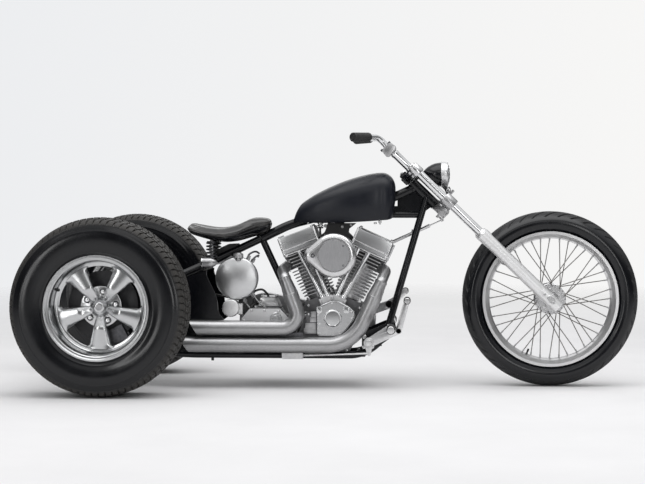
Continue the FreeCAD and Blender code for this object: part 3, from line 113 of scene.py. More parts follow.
def add(made, kind, inputs=(), **settings):
    """Node with its settings; an input is a value or another node's socket."""
    node = made.node_tree.nodes.new(kind)
    for key, value in settings.items():
        setattr(node, key, value)
    for key, value in dict(inputs).items():
        if isinstance(value, bpy.types.NodeSocket):
            made.node_tree.links.new(value, node.inputs[key])
        else:
            node.inputs[key].default_value = value
    return node


def connect(made, socket, shader_input):
    made.node_tree.links.new(socket, made.node_tree.nodes["Principled BSDF"].inputs[shader_input])


def place(made, scale=(1, 1, 1)):
    """Position on the piece, in metres, stretched for a texture."""
    coords = add(made, "ShaderNodeTexCoord")
    return add(made, "ShaderNodeMapping", {"Vector": coords.outputs["Object"],
        "Scale": scale}).outputs[0]


def noise(made, scale, detail=3.0, rough=0.55, vector=None):
    return add(made, "ShaderNodeTexNoise", {"Vector": vector or place(made), "Scale": scale,
        "Detail": detail, "Roughness": rough}).outputs["Fac"]


def remap(made, value, low, high, to_low, to_high):
    return add(made, "ShaderNodeMapRange", {"Value": value, "From Min": low, "From Max": high,
        "To Min": to_low, "To Max": to_high}).outputs[0]


def maths(made, operation, first, second=0.0):
    return add(made, "ShaderNodeMath", {0: first, 1: second}, operation=operation).outputs[0]


def blend(made, factor, first, second):
    """Colour that goes from first to second as factor goes from 0 to 1."""
    node = add(made, "ShaderNodeMix", data_type="RGBA")
    for socket, value in ((node.inputs[0], factor), (node.inputs[6], first),
            (node.inputs[7], second)):
        if isinstance(value, bpy.types.NodeSocket):
            made.node_tree.links.new(value, socket)
        else:
            socket.default_value = (*value, 1)
    return node.outputs[2]


def bump(made, height, strength, distance, below=None):
    inputs = {"Height": height, "Strength": strength, "Distance": distance}
    if below is not None:
        inputs["Normal"] = below
    return add(made, "ShaderNodeBump", inputs).outputs[0]


def radius_from(made, middle):
    """Distance from an axis along Y through middle, in metres."""
    coords = add(made, "ShaderNodeTexCoord")
    offset = add(made, "ShaderNodeVectorMath", {0: coords.outputs["Object"], 1: tuple(middle)},
                 operation="SUBTRACT")
    flat = add(made, "ShaderNodeVectorMath", {0: offset.outputs[0], 1: (1, 0, 1)},
        operation="MULTIPLY")
    return add(made, "ShaderNodeVectorMath", {0: flat.outputs[0]},
        operation="LENGTH").outputs["Value"]


def shares(made, first, share, second):
    """Sum of two values, the first weighted by share and the second by the rest."""
    return maths(made, "ADD", maths(made, "MULTIPLY", first, share),
                 maths(made, "MULTIPLY", second, 1 - share))


def surface(made, mask, span, colours, gloss, rough, relief, strength, depth, below=None):
    """Colour that follows mask over span, roughness that follows gloss, and a fine relief."""
    if span:
        mask = remap(made, mask, *span, 0, 1)
    connect(made, blend(made, mask, *colours), "Base Color")
    connect(made, remap(made, gloss, 0.3, 0.7, *rough), "Roughness")
    connect(made, bump(made, relief, strength, depth, below), "Normal")
    return made


# ---- materials ------------------------------------------------------------------------------
def worked_metal(name, light, dark, rough, grain, depth=0.00002):
    """Metal with a directional grain, cloudy stains and a roughness that follows both."""
    made = material(name, light, 1.0, rough[0])
    streaks = noise(made, 1.0, 4.0, 0.62, place(made, grain))
    both = shares(made, streaks, 0.5, noise(made, 7.0, 5.0, 0.6))
    return surface(made, both, (0.35, 0.62), (dark, light), both, rough[::-1], streaks, 0.35, depth)


def cast_metal(name, light, dark, rough, size=900.0):
    """Sand-cast surface: fine pits, soft mottling, edges rubbed bright."""
    made = material(name, light, 1.0, rough[0])
    pits, clouds = noise(made, size, 4.0, 0.7), noise(made, 26.0, 5.0, 0.6)
    body = blend(made, remap(made, clouds, 0.32, 0.66, 0, 1), dark, light)
    rubbed = tuple(min(1.0, channel * 1.25) for channel in light)
    edges = add(made, "ShaderNodeNewGeometry").outputs["Pointiness"]
    return surface(made, edges, (0.54, 0.62), (body, rubbed), pits, rough[::-1], pits, 0.5, 0.00012)


def turned_metal(name, middle, light, dark, rough):
    """Lathe-turned metal: fine rings about an axis along Y."""
    made = material(name, light, 1.0, rough[0])
    pitch = maths(made, "MULTIPLY", radius_from(made, middle), 900.0)
    rings = add(made, "ShaderNodeTexNoise", {"W": pitch, "Scale": 1.0, "Detail": 3.0},
                noise_dimensions="1D").outputs["Fac"]
    both = shares(made, rings, 0.55, noise(made, 11.0, 5.0, 0.6))
    return surface(made, both, (0.35, 0.62), (dark, light), both, rough[::-1], rings, 0.2, 0.000008)


def paint(name, colour, dust, roughness, **sockets):
    """Sprayed paint with orange peel and a trace of dust."""
    made = material(name, colour, 0.0, roughness, **sockets)
    clouds, peel = noise(made, 14.0, 5.0, 0.65), noise(made, 420.0, 1.0, 0.4)
    return surface(made, clouds, (0.45, 0.75), (colour, dust), clouds, (roughness, roughness * 1.5),
                   peel, 0.25, 0.00003)


def rubber(name, colour, worn, rough, grain=700.0, depth=0.00006):
    made = material(name, colour, 0.0, rough[0])
    fine = noise(made, grain, 3.0, 0.6)
    return surface(made, noise(made, 18.0, 6.0, 0.65), (0.38, 0.68), (colour, worn), fine, rough,
                   fine, 0.4, depth)


def tyre_rubber(name, middle, tread_from, side, tread):
    """Dark, rather glossy sidewall, and dusty brown-grey tread outside tread_from."""
    made = material(name, side, 0.0, 0.36, Specular_IOR_Level=0.45)
    clouds, patches = noise(made, 9.0, 6.0, 0.68), noise(made, 46.0, 5.0, 0.7)
    crown = remap(made, radius_from(made, middle), tread_from - 0.006, tread_from + 0.006, 0, 1)
    dusty = maths(made, "MULTIPLY", crown, remap(made, patches, 0.3, 0.62, 0.45, 1))
    grey = tuple(channel * 1.6 for channel in side)
    wall = blend(made, remap(made, clouds, 0.42, 0.72, 0, 1), side, grey)
    connect(made, blend(made, dusty, wall, tread), "Base Color")
    connect(made, maths(made, "ADD", remap(made, clouds, 0.3, 0.7, 0.15, 0.24),
        maths(made, "MULTIPLY", dusty, 0.5)), "Roughness")
    connect(made, bump(made, noise(made, 800.0, 3.0, 0.6), 0.35, 0.00008), "Normal")
    return made


def leather(name, black, rubbed):
    """Glossy black seat leather with a fine pebble grain and rubbed high spots."""
    made = material(name, black, 0.0, 0.3, Coat_Weight=0.35, Coat_Roughness=0.2)
    cells = add(made, "ShaderNodeTexVoronoi", {"Vector": place(made), "Scale": 620.0},
                feature="SMOOTH_F1").outputs["Distance"]
    clouds = noise(made, 16.0, 5.0, 0.6)
    fold = bump(made, noise(made, 60.0, 4.0, 0.7, place(made, (1, 1.8, 1))), 0.25, 0.0006)
    return surface(made, clouds, (0.4, 0.7), (black, rubbed), clouds, (0.26, 0.42), cells, 0.4,
        0.00022, fold)


def glass(name):
    """Clear pressed glass with faint upright flutes."""
    made = material(name, (0.9, 0.92, 0.93), 0.0, 0.05, Transmission_Weight=0.85, IOR=1.45)
    flutes = add(made, "ShaderNodeTexWave", {"Vector": place(made), "Scale": 60.0},
        bands_direction="Y")
    connect(made, bump(made, flutes.outputs["Fac"], 0.4, 0.0006), "Normal")
    connect(made, remap(made, noise(made, 30.0), 0.3, 0.7, 0.04, 0.1), "Roughness")
    return made


M = {
    "frame": paint("gloss_black_paint", (0.0035, 0.004, 0.0055),
        (0.006, 0.006, 0.0075), 0.16, Specular_IOR_Level=0.42),
    "case_dark": cast_metal("shaded_case", (0.2, 0.2, 0.205), (0.1, 0.1, 0.102), (0.4, 0.55)),
    "ring": worked_metal("satin_ring", (0.74, 0.74, 0.745), (0.68, 0.68, 0.685), (0.3, 0.36),
        (30, 30, 30)),
    "tank": paint("satin_charcoal_paint", (0.0052, 0.0066, 0.0115),
        (0.007, 0.0085, 0.014), 0.28, Specular_IOR_Level=0.36),
    "exhaust": worked_metal("brushed_pipe", (0.44, 0.44, 0.445), (0.36, 0.36, 0.365),
        (0.32, 0.42), (120, 160, 160)),
    "drum": worked_metal("brushed_drum", (0.64, 0.645, 0.65), (0.6, 0.605, 0.61), (0.33, 0.37),
        (60, 60, 160)),
    "wire": worked_metal("stainless_wire", (0.24, 0.23, 0.22), (0.17, 0.163, 0.155),
        (0.36, 0.46), (90, 90, 90)),
    "chrome_satin": worked_metal("satin_chrome", (0.42, 0.42, 0.425), (0.34, 0.34, 0.345),
        (0.26, 0.36), (160, 20, 160)),
    "braid": worked_metal("braided_line", (0.42, 0.42, 0.42), (0.16, 0.16, 0.165), (0.25, 0.4),
        (900, 900, 900), 0.0002),
    "cover": worked_metal("brushed_cover", (0.58, 0.585, 0.59), (0.48, 0.485, 0.49),
        (0.24, 0.34), (20, 40, 420)),
    "slider": worked_metal("satin_slider", (0.86, 0.86, 0.86), (0.76, 0.76, 0.76), (0.42, 0.5),
        (160, 160, 160)),
    "controls": worked_metal("satin_lever", (0.72, 0.72, 0.72), (0.5, 0.5, 0.51), (0.26, 0.4),
        (60, 60, 300)),
    "case": cast_metal("cast_engine_case", (0.56, 0.56, 0.565), (0.36, 0.36, 0.365), (0.34, 0.5)),
    "fins": cast_metal("cast_cylinder", (0.66, 0.66, 0.665), (0.42, 0.42, 0.425), (0.3, 0.44)),
    "tree": worked_metal("machined_tree", (0.5, 0.5, 0.505), (0.4, 0.4, 0.405), (0.28, 0.38),
        (70, 70, 70)),
    # Near-black cast metal: the axle housing's own dark iron, and painted shade on the rear hubs
    # and discs.
    "iron": cast_metal("cast_metal_and_painted_shade", (0.07, 0.07, 0.072), (0.035, 0.035, 0.037),
        (0.45, 0.65), 380.0),
    "steel": worked_metal("dark_steel", (0.16, 0.16, 0.17), (0.07, 0.07, 0.075), (0.3, 0.45),
        (120, 120, 120)),
    "bright": worked_metal("machined_steel", (0.8, 0.8, 0.8), (0.58, 0.58, 0.59), (0.14, 0.28),
        (200, 200, 200)),
    "chrome": worked_metal("chrome_plate", (0.82, 0.825, 0.83), (0.76, 0.765, 0.77),
        (0.06, 0.12), (30, 30, 30), 0.000002),
    "plastic": rubber("black_plastic", (0.012, 0.012, 0.013), (0.022, 0.022, 0.023), (0.42, 0.58)),
    "grip": rubber("grip_rubber", (0.012, 0.012, 0.013), (0.03, 0.029, 0.028), (0.5, 0.7)),
    "belt": rubber("belt_rubber", (0.014, 0.014, 0.014), (0.035, 0.034, 0.033), (0.5, 0.7)),
    "leather": leather("seat_leather", (0.011, 0.0105, 0.011), (0.026, 0.023, 0.021)),
    "front_rim": turned_metal("turned_front_rim", FRONT, (0.7, 0.7, 0.7), (0.64, 0.64, 0.645),
        (0.27, 0.33)),
    "front_tyre": tyre_rubber("front_tyre_rubber", FRONT, 0.345, (0.0026, 0.003, 0.0044),
        (0.012, 0.012, 0.013)),
    "air_disc": worked_metal("air_cleaner_disc", (0.5, 0.5, 0.51), (0.38, 0.38, 0.39),
        (0.36, 0.46), (420, 20, 40)),
    "air_cover": worked_metal("air_cleaner_cover", (0.7, 0.7, 0.705), (0.62, 0.62, 0.625),
        (0.22, 0.28), (60, 60, 60)),
    "cam": worked_metal("polished_cover", (0.66, 0.665, 0.67), (0.56, 0.565, 0.57), (0.2, 0.28),
        (50, 60, 90)),
    "lens_red": rubber("red_lens", (0.16, 0.005, 0.004), (0.2, 0.01, 0.008),
        (0.08, 0.14), 300.0, 0.00001),
    "glass": glass("headlight_glass"),
}
for side, middle in REAR.items():
    M["rim_" + side] = turned_metal("turned_rear_rim_" + side, middle, (0.6, 0.605, 0.61),
        (0.52, 0.525, 0.53), (0.2, 0.27))
    M["tyre_" + side] = tyre_rubber("rear_tyre_rubber_" + side, middle, 0.328,
        (0.0022, 0.0025, 0.0036), (0.034, 0.0315, 0.0285))

# The CAD nodes that each material covers.
NODES_OF = {
    "frame": "frame_backbone frame_downtubes frame_rails frame_seat_post frame_stays axle_carriers "
             "frame_crossmembers control_brackets seat_hinge headlight_shell",
    "tank": "fuel_tank", "exhaust": "exhaust_front exhaust_rear", "drum": "oil_tank",
    "cover": "rocker_box_front rocker_box_rear air_cleaner cam_cover",
    "slider": "fork_sliders", "tree": "fork_lower_tree",
    "controls": "foot_controls_left foot_controls_right brake_linkage headlight_ring",
    "case_dark": "engine_cases", "case": "transmission primary_cover lifter_blocks",
    "fins": "cylinder_front cylinder_rear", "iron": "rear_axle_housing",
    "steel": "fork_upper_tree rear_brake_calipers final_drive_pulleys carburettor seat_springs",
    "bright": "front_hub front_axle steering_damper rear_hub_left rear_hub_right",
    "chrome": "fork_tubes handlebar pushrod_tubes oil_filter rocker_drains",
    "chrome_satin": "marker_lamps", "wire": "front_spokes",
    "plastic": "top_engine_mount electrics_box",
    "grip": "grips", "belt": "final_drive_belt", "leather": "seat", "front_rim": "front_rim",
    "front_tyre": "front_tyre", "rim_left": "rear_rim_left", "rim_right": "rear_rim_right",
    "tyre_left": "rear_tyre_left", "tyre_right": "rear_tyre_right",
}
for key, names in NODES_OF.items():
    for name in names.split():
        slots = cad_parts[name].data.materials
        slots.clear()
        slots.append(M[key])


# ---- mesh helpers ---------------------------------------------------------------------------
def piece(name, verts, faces, key, body, sharp=32.0):
    """Object from vertices and faces, smooth except at sharp edges, riding on its body."""
    mesh = bpy.data.meshes.new(name)
    mesh.from_pydata([tuple(v) for v in verts], [], faces)
    mesh.validate()
    work = bmesh.new()
    work.from_mesh(mesh)
    bmesh.ops.remove_doubles(work, verts=work.verts, dist=0.000001)
    bmesh.ops.dissolve_degenerate(work, edges=work.edges, dist=0.000001)
    bmesh.ops.recalc_face_normals(work, faces=work.faces)
    work.to_mesh(mesh)
    work.free()
    mesh.materials.append(M[key])
    mesh.shade_smooth()
    mesh.set_sharp_from_angle(angle=radians(sharp))
    made = bpy.data.objects.new(name, mesh)
    bpy.context.scene.collection.objects.link(made)
    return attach(made, body)


def skin(rings, count, closed=True, start=0):
    """Faces between rings of count points each, numbered from start."""
    faces = []
    for ring in range(rings if closed else rings - 1):
        here, there = start + ring * count, start + (ring + 1) % rings * count
        for index in range(count):
            after = (index + 1) % count
            faces.append((here + index, here + after, there + after, there + index))
    return faces


def arc_through(first, middle, last, count):
    """Points of a circular arc through three flat points, ends included."""
    ax, ay, bx, by, cx, cy = *first, *middle, *last
    d = 2 * (ax * (by - cy) + bx * (cy - ay) + cx * (ay - by))
    a2, b2, c2 = ax * ax + ay * ay, bx * bx + by * by, cx * cx + cy * cy
    ox = (a2 * (by - cy) + b2 * (cy - ay) + c2 * (ay - by)) / d
    oy = (a2 * (cx - bx) + b2 * (ax - cx) + c2 * (bx - ax)) / d
    radius = hypot(ax - ox, ay - oy)
    angles = [atan2(y - oy, x - ox) for x, y in (first, middle, last)]
    for index in (1, 2):
        while angles[index] - angles[index - 1] > pi:
            angles[index] -= TAU
        while angles[index] - angles[index - 1] < -pi:
            angles[index] += TAU
    steps = [angles[0] + (angles[2] - angles[0]) * i / (count - 1) for i in range(count)]
    return [(ox + radius * cos(t), oy + radius * sin(t)) for t in steps]


def lathe(name, profile, steps, middle, key, body, mirror=False, sharp=28.0):
    """Closed profile of (radius, y) in millimetres turned about the Y axis through middle."""
    flip = -1 if mirror else 1
    verts = [middle + around(radius, TAU * step / steps, flip * y) * MM
             for step in range(steps) for radius, y in profile]
    return piece(name, verts, skin(steps, len(profile)), key, body, sharp)


def box(x0, x1, z0, z1):
    """Corners of a rectangle, in order."""
    return ((x0, z0), (x1, z0), (x1, z1), (x0, z1))


class Soup:
    """Vertices, in millimetres, and faces of the many small forms that make one piece."""

    def __init__(self):
        self.verts, self.faces = [], []

    def rows(self, rows, closed=False):
        """Skin over rows of points, each row a loop; capped at both ends unless closed."""
        start, count = len(self.verts), len(rows[0])
        for row in rows:
            self.verts += row
        self.faces += skin(len(rows), count, closed, start)
        if not closed:
            last = start + (len(rows) - 1) * count
            self.faces.append(tuple(start + index for index in reversed(range(count))))
            self.faces.append(tuple(last + index for index in range(count)))
        return self

    def turned(self, spot, axis, profile, steps=20, closed=False):
        """Form turned about axis from (radius, height above spot) corners."""
        spin = Vector(axis).to_track_quat("Z", "Y").to_matrix()
        angles = [TAU * step / steps for step in range(steps)]
        rows = [[spot + spin @ Vector((radius * cos(a), radius * sin(a), height)) for a in angles]
                for radius, height in profile]
        return self.rows(rows, closed)

    def tube(self, path, radius, steps=10, closed=False):
        """Round tube along points."""
        rows, side, count = [], None, len(path)
        for index, point in enumerate(path):
            if closed:
                along = (path[(index + 1) % count] - path[index - 1]).normalized()
            else:
                along = (path[min(index + 1, count - 1)] - path[max(index - 1, 0)]).normalized()
            side = along.orthogonal() if side is None else side - along * side.dot(along)
            side.normalize()
            up = along.cross(side)
            rows.append([point + (side * cos(TAU * s / steps) + up * sin(TAU * s / steps)) * radius
                for s in range(steps)])
        return self.rows(rows, closed)

    def slab(self, outline, lift, bevel=1.0):
        """Plate from a loop of points, raised by the vector lift, its raised edge eased."""
        middle = sum(outline, Vector()) / len(outline)
        inner = [point + (middle - point).normalized() * bevel + lift for point in outline]
        return self.rows([list(outline), [p + lift * (1 - bevel / lift.length) for p in outline],
            inner])

    def collar(self, spot, axis, inner, outer, low, high, ease=1.0, steps=20):
        """Ring from low to high above spot, its outer edges cut back by ease."""
        return self.turned(spot, axis, ((inner, low), (outer - ease, low), (outer, low + ease),
            (outer, high - ease), (outer - ease, high), (inner, high)), steps, True)

    def screw(self, spot, axis, size=8.0):
        """Socket-head cap screw standing on spot."""
        r = size * 0.75
        return self.turned(spot, axis, ((r, -1), (r, size * 0.75), (r - 0.8, size * 0.85),
            (r * 0.55, size * 0.85), (r * 0.5, size * 0.3), (0, size * 0.3)), 16)

    def button(self, spot, axis, size=8.0):
        """Low domed screw with a socket."""
        r = size * 0.9
        return self.turned(spot, axis, ((r, -1), (r, 0.6), (r * 0.85, size * 0.32),
            (r * 0.45, size * 0.48), (r * 0.38, size * 0.48), (r * 0.34, 0.5), (0, 0.5)), 16)

    def nut(self, spot, axis, across=13.0, height=7.0, washer=True):
        """Hexagon head on a washer, with a stub of thread."""
        r, base = across / sqrt(3), 1.6 if washer else -1.0
        if washer:
            self.turned(spot, axis, ((r * 1.25, -1), (r * 1.25, 1.3), (r * 1.15, 1.6), (0, 1.6)),
                20)
        self.turned(spot, axis, ((r, base - 0.5), (r, base + height * 0.82),
            (r * 0.84, base + height), (0, base + height)), 6)
        return self.turned(spot, axis, ((r * 0.5, base), (r * 0.5, base + height * 1.25),
            (r * 0.4, base + height * 1.4), (0, base + height * 1.4)), 12)

    def made(self, name, key, body="frame", slot="", sharp=32.0):
        verts = [vertex * MM for vertex in self.verts]
        return piece(name, verts, self.faces, key, body, sharp)


def apply_modifiers(made):
    """Turns a piece's modifiers into its mesh."""
    graph = bpy.context.evaluated_depsgraph_get()
    graph.update()
    new = bpy.data.meshes.new_from_object(made.evaluated_get(graph))
    made.modifiers.clear()
    old, made.data = made.data, new
    bpy.data.meshes.remove(old)


def curve_points(corners, steps=8):
    """Smooth line through points."""
    ends = [corners[0] * 2 - corners[1]] + list(corners) + [corners[-1] * 2 - corners[-2]]
    line = []
    for a, b, c, d in zip(ends, ends[1:], ends[2:], ends[3:]):
        for step in range(steps):
            t = step / steps
            line.append(0.5 * (2 * b + (c - a) * t + (2 * a - 5 * b + 4 * c - d) * t * t
                + (3 * b - a - 3 * c + d) * t ** 3))
    return line + [corners[-1]]


def hose(soup, origin, points, radius, steps=6):
    """Round line drawn smoothly through points given from origin."""
    soup.tube(curve_points([origin + Vector(point) for point in points], steps), radius, 12)


def inset(loop, axis, amount):
    """Flat loop drawn in evenly by amount."""
    axis, count = Vector(axis).normalized(), len(loop)
    area = sum((loop[i].cross(loop[(i + 1) % count]).dot(axis) for i in range(count)))
    turn, made = (1 if area > 0 else -1), []
    for index in range(count):
        before = (loop[index] - loop[index - 1]).normalized()
        after = (loop[(index + 1) % count] - loop[index]).normalized()
        first, second = axis.cross(before) * turn, axis.cross(after) * turn
        middle = (first + second).normalized()
        made.append(loop[index] + middle * (amount / max(0.35, middle.dot(first))))
    return made


def eased(soup, loop, lift, ease=1.5):
    """Plate from a loop, raised by lift, with a rounded edge at both faces."""
    way, rows = lift.normalized(), []
    for inward, up in ((ease, 0), (ease * 0.3, ease * 0.3), (0, ease)):
        rows.append([p + way * up for p in inset(loop, way, inward)])
    for inward, up in ((0, ease), (ease * 0.3, ease * 0.3), (ease, 0)):
        rows.append([p + lift - way * up for p in inset(loop, way, inward)])
    return soup.rows(rows)


def panel(soup, y, corners, lift, ease=1.5):
    """Eased plate at y with (x, z) corners given from the crank."""
    return eased(soup, [from_crank(x, y, z) for x, z in corners], lift, ease)


def hull(points):
    """Corners of the smallest convex loop round flat (x, y) points."""
    points = sorted(set((round(x, 4), round(y, 4)) for x, y in points))

    def half(order):
        chain = []
        for p in order:
            while len(chain) > 1 and ((chain[-1][0] - chain[-2][0]) * (p[1] - chain[-2][1])
                    - (chain[-1][1] - chain[-2][1]) * (p[0] - chain[-2][0])) <= 0:
                chain.pop()
            chain.append(p)
        return chain[:-1]

    return half(points) + half(points[::-1])


def round_ends(*ends, steps=32):
    """Loop of (x, z) drawn tight round circles given as (x, z, diameter)."""
    return hull([(x + d / 2 * cos(TAU * s / steps), z + d / 2 * sin(TAU * s / steps))
                 for x, z, d in ends for s in range(steps)])


# ---- tyres ----------------------------------------------------------------------------------
def tyre(name, middle, key, body, half, pitches, fractions, cut, sweep, node):
    """Tyre from half a profile of (radius, y, lateral groove depth), millimetres, bead to crown.

    fractions place each pitch's rings; cut says which of them lie in a lateral groove, and
    sweep(y) shifts a groove round the tyre, in pitches, as it crosses the tread."""
    rows = half + [(radius, -y, depth) for radius, y, depth in reversed(half) if y > 0.01]
    verts = []
    for pitch in range(pitches):
        for fraction, low in zip(fractions, cut):
            for radius, y, depth in rows:
                angle = TAU * (pitch + fraction + sweep(y)) / pitches
                verts.append(middle + around(radius - (depth if low else 0), angle, y) * MM)
    faces = skin(pitches * len(fractions), len(rows))
    made = piece(name, verts, faces, key, body, 24.0)
    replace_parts(made, node)
    return made


# Radius of each crown, and the depth of the grooves round the rear tyre and of the cuts across it.
REAR_CROWN, FRONT_CROWN, GROOVE, CROSS_CUT = 353.8, 363.4, 7.5, 6.0


def rear_half():
    """Bead, sidewall with moulded ribs, shoulder blocks and half of the crown."""
    wall = arc_through((210, 108.7), (270.5, 125.4), (325.7, 116.4), 26)
    rows = [(190.4, 60, 0), (190.4, 108.7, 0)]
    for radius, y in wall:
        rib = 1.6 * exp(-((radius - 224) / 2.6) ** 2) + 1.1 * exp(-((radius - 303) / 1.5) ** 2)
        rib += 0.8 * exp(-((radius - 247) / 1.2) ** 2)
        rows.append((radius, y + rib - 0.6, 0))
    rows += [(327.5, 115.6, 0), (328.5, 115.2, 3.0), (334.0, 112.4, 5.0), (339.0, 108.2, 6.5),
             (342.0, 104.0, 7.0), (343.6, 99.0, 7.0)]
    crown = arc_through((343.6, 99.0), (351.6, 49.0), (REAR_CROWN, 0.0), 50)
    grooves = ((79.0, 4.6), (44.0, 5.0), (12.0, 4.2))
    edges = []
    for at, width in grooves:
        edges += [(at + width, 0), (at + width - 1.0, 1), (at - width + 1.0, 1), (at - width, 0)]
    for y, deep in edges:
        radius = min(crown, key=lambda point: abs(point[1] - y))[0]
        rows.append((radius - GROOVE * deep, y, 0 if deep else CROSS_CUT))
    rows.append((REAR_CROWN, 0.0, CROSS_CUT))
    return rows


def front_half():
    wall = arc_through((282.5, 41.2), (316.5, 61.6), (336.8, 53.6), 18)
    rows = [(267.4, 20, 0), (267.4, 41.2, 0)]
    for radius, y in wall:
        rib = 1.0 * exp(-((radius - 292) / 1.6) ** 2) + 0.8 * exp(-((radius - 326) / 1.2) ** 2)
        rows.append((radius, y + rib, 0))
    crown = arc_through((338.5, 52.0), (357.0, 27.0), (FRONT_CROWN, 0.0), 22)
    for radius, y in crown[:-1]:
        inside = max(0.0, min(1.0, (50.0 - y) / 8.0)) * max(0.0, min(1.0, (y - 5.0) / 3.0))
        rows.append((radius, y, 5.2 * inside))
    rows.append((FRONT_CROWN, 0.0, 0))
    return rows


def build_tyres():
    for side in REAR:
        tyre("rear_tyre_detail_" + side, REAR[side], "tyre_" + side, "rear_wheel_" + side,
            rear_half(), 78, (0.0, 0.37, 0.41, 0.59, 0.63, 0.80), (0, 0, 1, 1, 0, 0),
            lambda y: 0.35 * sin(y / 26.0), "rear_tyre_" + side)
    tyre("front_tyre_detail", FRONT, "front_tyre", "front_wheel", front_half(), 40,
         (0.0, 0.18, 0.38, 0.43, 0.57, 0.62, 0.81), (0, 0, 0, 1, 1, 0, 0),
         lambda y: 0.03 * abs(y) + (0.5 if y < 0 else 0.0), "front_tyre")


build_tyres()


# ---- rear wheels ----------------------------------------------------------------------------
PAD_R, CAP_R, LUG_R = 82.0, 42.0, 60.33
LUGS = [radians(72 * index - 135) for index in range(5)]
BARREL = ((208, 117.2), (207.2, 118), (201, 118), (199.6, 116.6), (199, 112), (197.4, 110.6),
    (191.5, 110), (188.2, 107.5), (186.2, 103), (184.6, 92), (183.6, 60), (182.8, 36), (180.5, 28),
    (176, 23.5), (170, 21.2), (165, 20.8), (162.6, 19.6), (161.5, 17), (161.5, 4), (163, 2.6),
    (182, 2), (182, -100), (184, -104), (188, -116), (190, -118), (206.5, -118), (208, -116.5),
    (208, -109.4), (190.1, -109.2), (190.1, 109.2), (208, 109.4))


def spoke_height(along, across):
    """A spoke's skin: a broad soft crest that climbs from the hub and eases down to the rim."""
    rise = min(1.0, along / 0.42)
    crest = 18 + 20 * rise * rise * (3 - 2 * rise) - 8 * max(0.0, along - 0.42)
    return crest - (9 + 5 * along) * (1 - sqrt(1 - abs(across) ** 2.1))


def spoke_half(radius):
    """Half a spoke's width, with a fillet into the ring at its outer end."""
    return 15.5 + 0.205 * (radius - 30) + 0.05 * max(0.0, radius - 149) ** 2


def build_spokes(side, sign):
    soup, middle = Soup(), REAR[side] / MM
    for spoke in range(5):
        turn = radians(72 * spoke - 90)
        out, beside = around(1, turn), around(1, turn + pi / 2)
        rows = []
        for step in range(28):
            along = step / 27
            radius = 30 + 136 * along
            half, row = spoke_half(radius), []
            for column in range(35):
                across = sin(pi / 2 * (-1 + 2 * column / 34))
                reach = sqrt(max(radius ** 2 - (across * half) ** 2,
                    1.0)) if radius > 120 else radius
                row.append(middle + out * reach + beside * across * half
                    + LEFT * sign * spoke_height(along, across))
            rows.append(row + [Vector((end.x, middle.y - 5 * sign, end.z))
                for end in (row[34], row[0])])
        soup.rows(rows)
    soup.made("rear_spokes_" + side, "rim_" + side, "rear_wheel_" + side, "wheel_alloy", sharp=38)


def holed_pad(side, sign):
    """Bolting face with a dark pocket round each nut."""
    outline = [(PAD_R, -8), (PAD_R, 0.4), (PAD_R - 0.8, 2.2), (PAD_R - 2.6, 3), (20, 3), (20, -8)]
    pad = lathe("rear_pad_" + side, outline, 120, REAR[side], "rim_" + side, "rear_wheel_" + side,
                sign < 0)
    cutter = Soup()
    for angle in LUGS:
        spot = REAR[side] / MM + around(LUG_R, angle, -30)
        cutter.turned(spot, LEFT, ((13.6, 0), (13.6, 60)), 36)
    tool = cutter.made("cutter", "steel", "rear_wheel_" + side)
    cut = pad.modifiers.new("pockets", "BOOLEAN")
    cut.operation, cut.object, cut.solver = "DIFFERENCE", tool, "EXACT"
    apply_modifiers(pad)
    bpy.data.objects.remove(tool)
    pad.data.shade_smooth()
    pad.data.set_sharp_from_angle(angle=radians(28))


def wheel_fastenings(side, sign):
    """Lug nuts, small cap screws, the valve, and the hub with its brake disc in painted shade
    behind the wheel.
    """
    middle, out, body = REAR[side] / MM, LEFT * sign, "rear_wheel_" + side
    nuts = Soup()
    for angle in LUGS:
        spot = middle + around(LUG_R, angle)
        nuts.turned(spot, out, ((6, -9), (9.0, -4), (9.6, 0), (0, 0)), 24)
        nuts.turned(spot, out, ((9.6, -1), (9.6, 12), (8.2, 14.5), (0, 14.5)), 6)
        nuts.turned(spot, out, ((7.8, 13.5), (6.8, 16.6), (3.6, 18), (0, 18)), 20)
    for index in range(5):
        angle = radians(72 * index - 90 + 36)
        spot = middle + around(46.5, angle) + out * 3
        nuts.button(spot, out, 4.4)
    nuts.made("rear_lug_nuts_" + side, "chrome", body, sharp=26)
    angle = radians(158)
    foot = middle + around(178, angle) + out * 23
    valve = Soup().turned(foot, out, ((6.5, -3), (6.5, 3), (4.6, 5), (4.2, 16), (0, 16)), 20)
    valve.turned(foot + out * 15, out, ((4.9, 0), (4.9, 9), (3.8, 11), (0, 11)), 12)
    valve.made("rear_valve_" + side, "grip", body)
    flip = sign < 0
    # Hub and brake disc in near-black: painted shade for the dark inside of the wheel.
    hub = lathe("rear_hub_detail_" + side, [(19, -134), (20, -134), (20, -60), (62, -60), (66, -56),
        (67, -28), (75, -26), (75, -9), (73.5, -8.2), (19, -8.2)], 96, REAR[side], "iron", body,
        flip)
    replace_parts(hub, "rear_hub_" + side)
    lathe("rear_brake_disc_" + side, [(66, -49), (139.2, -49), (140, -49.8), (140, -53),
        (132, -53.4), (132, -54.6), (140, -55), (140, -58.2), (139.2, -59), (66, -59)], 120,
        REAR[side], "iron", body, flip)


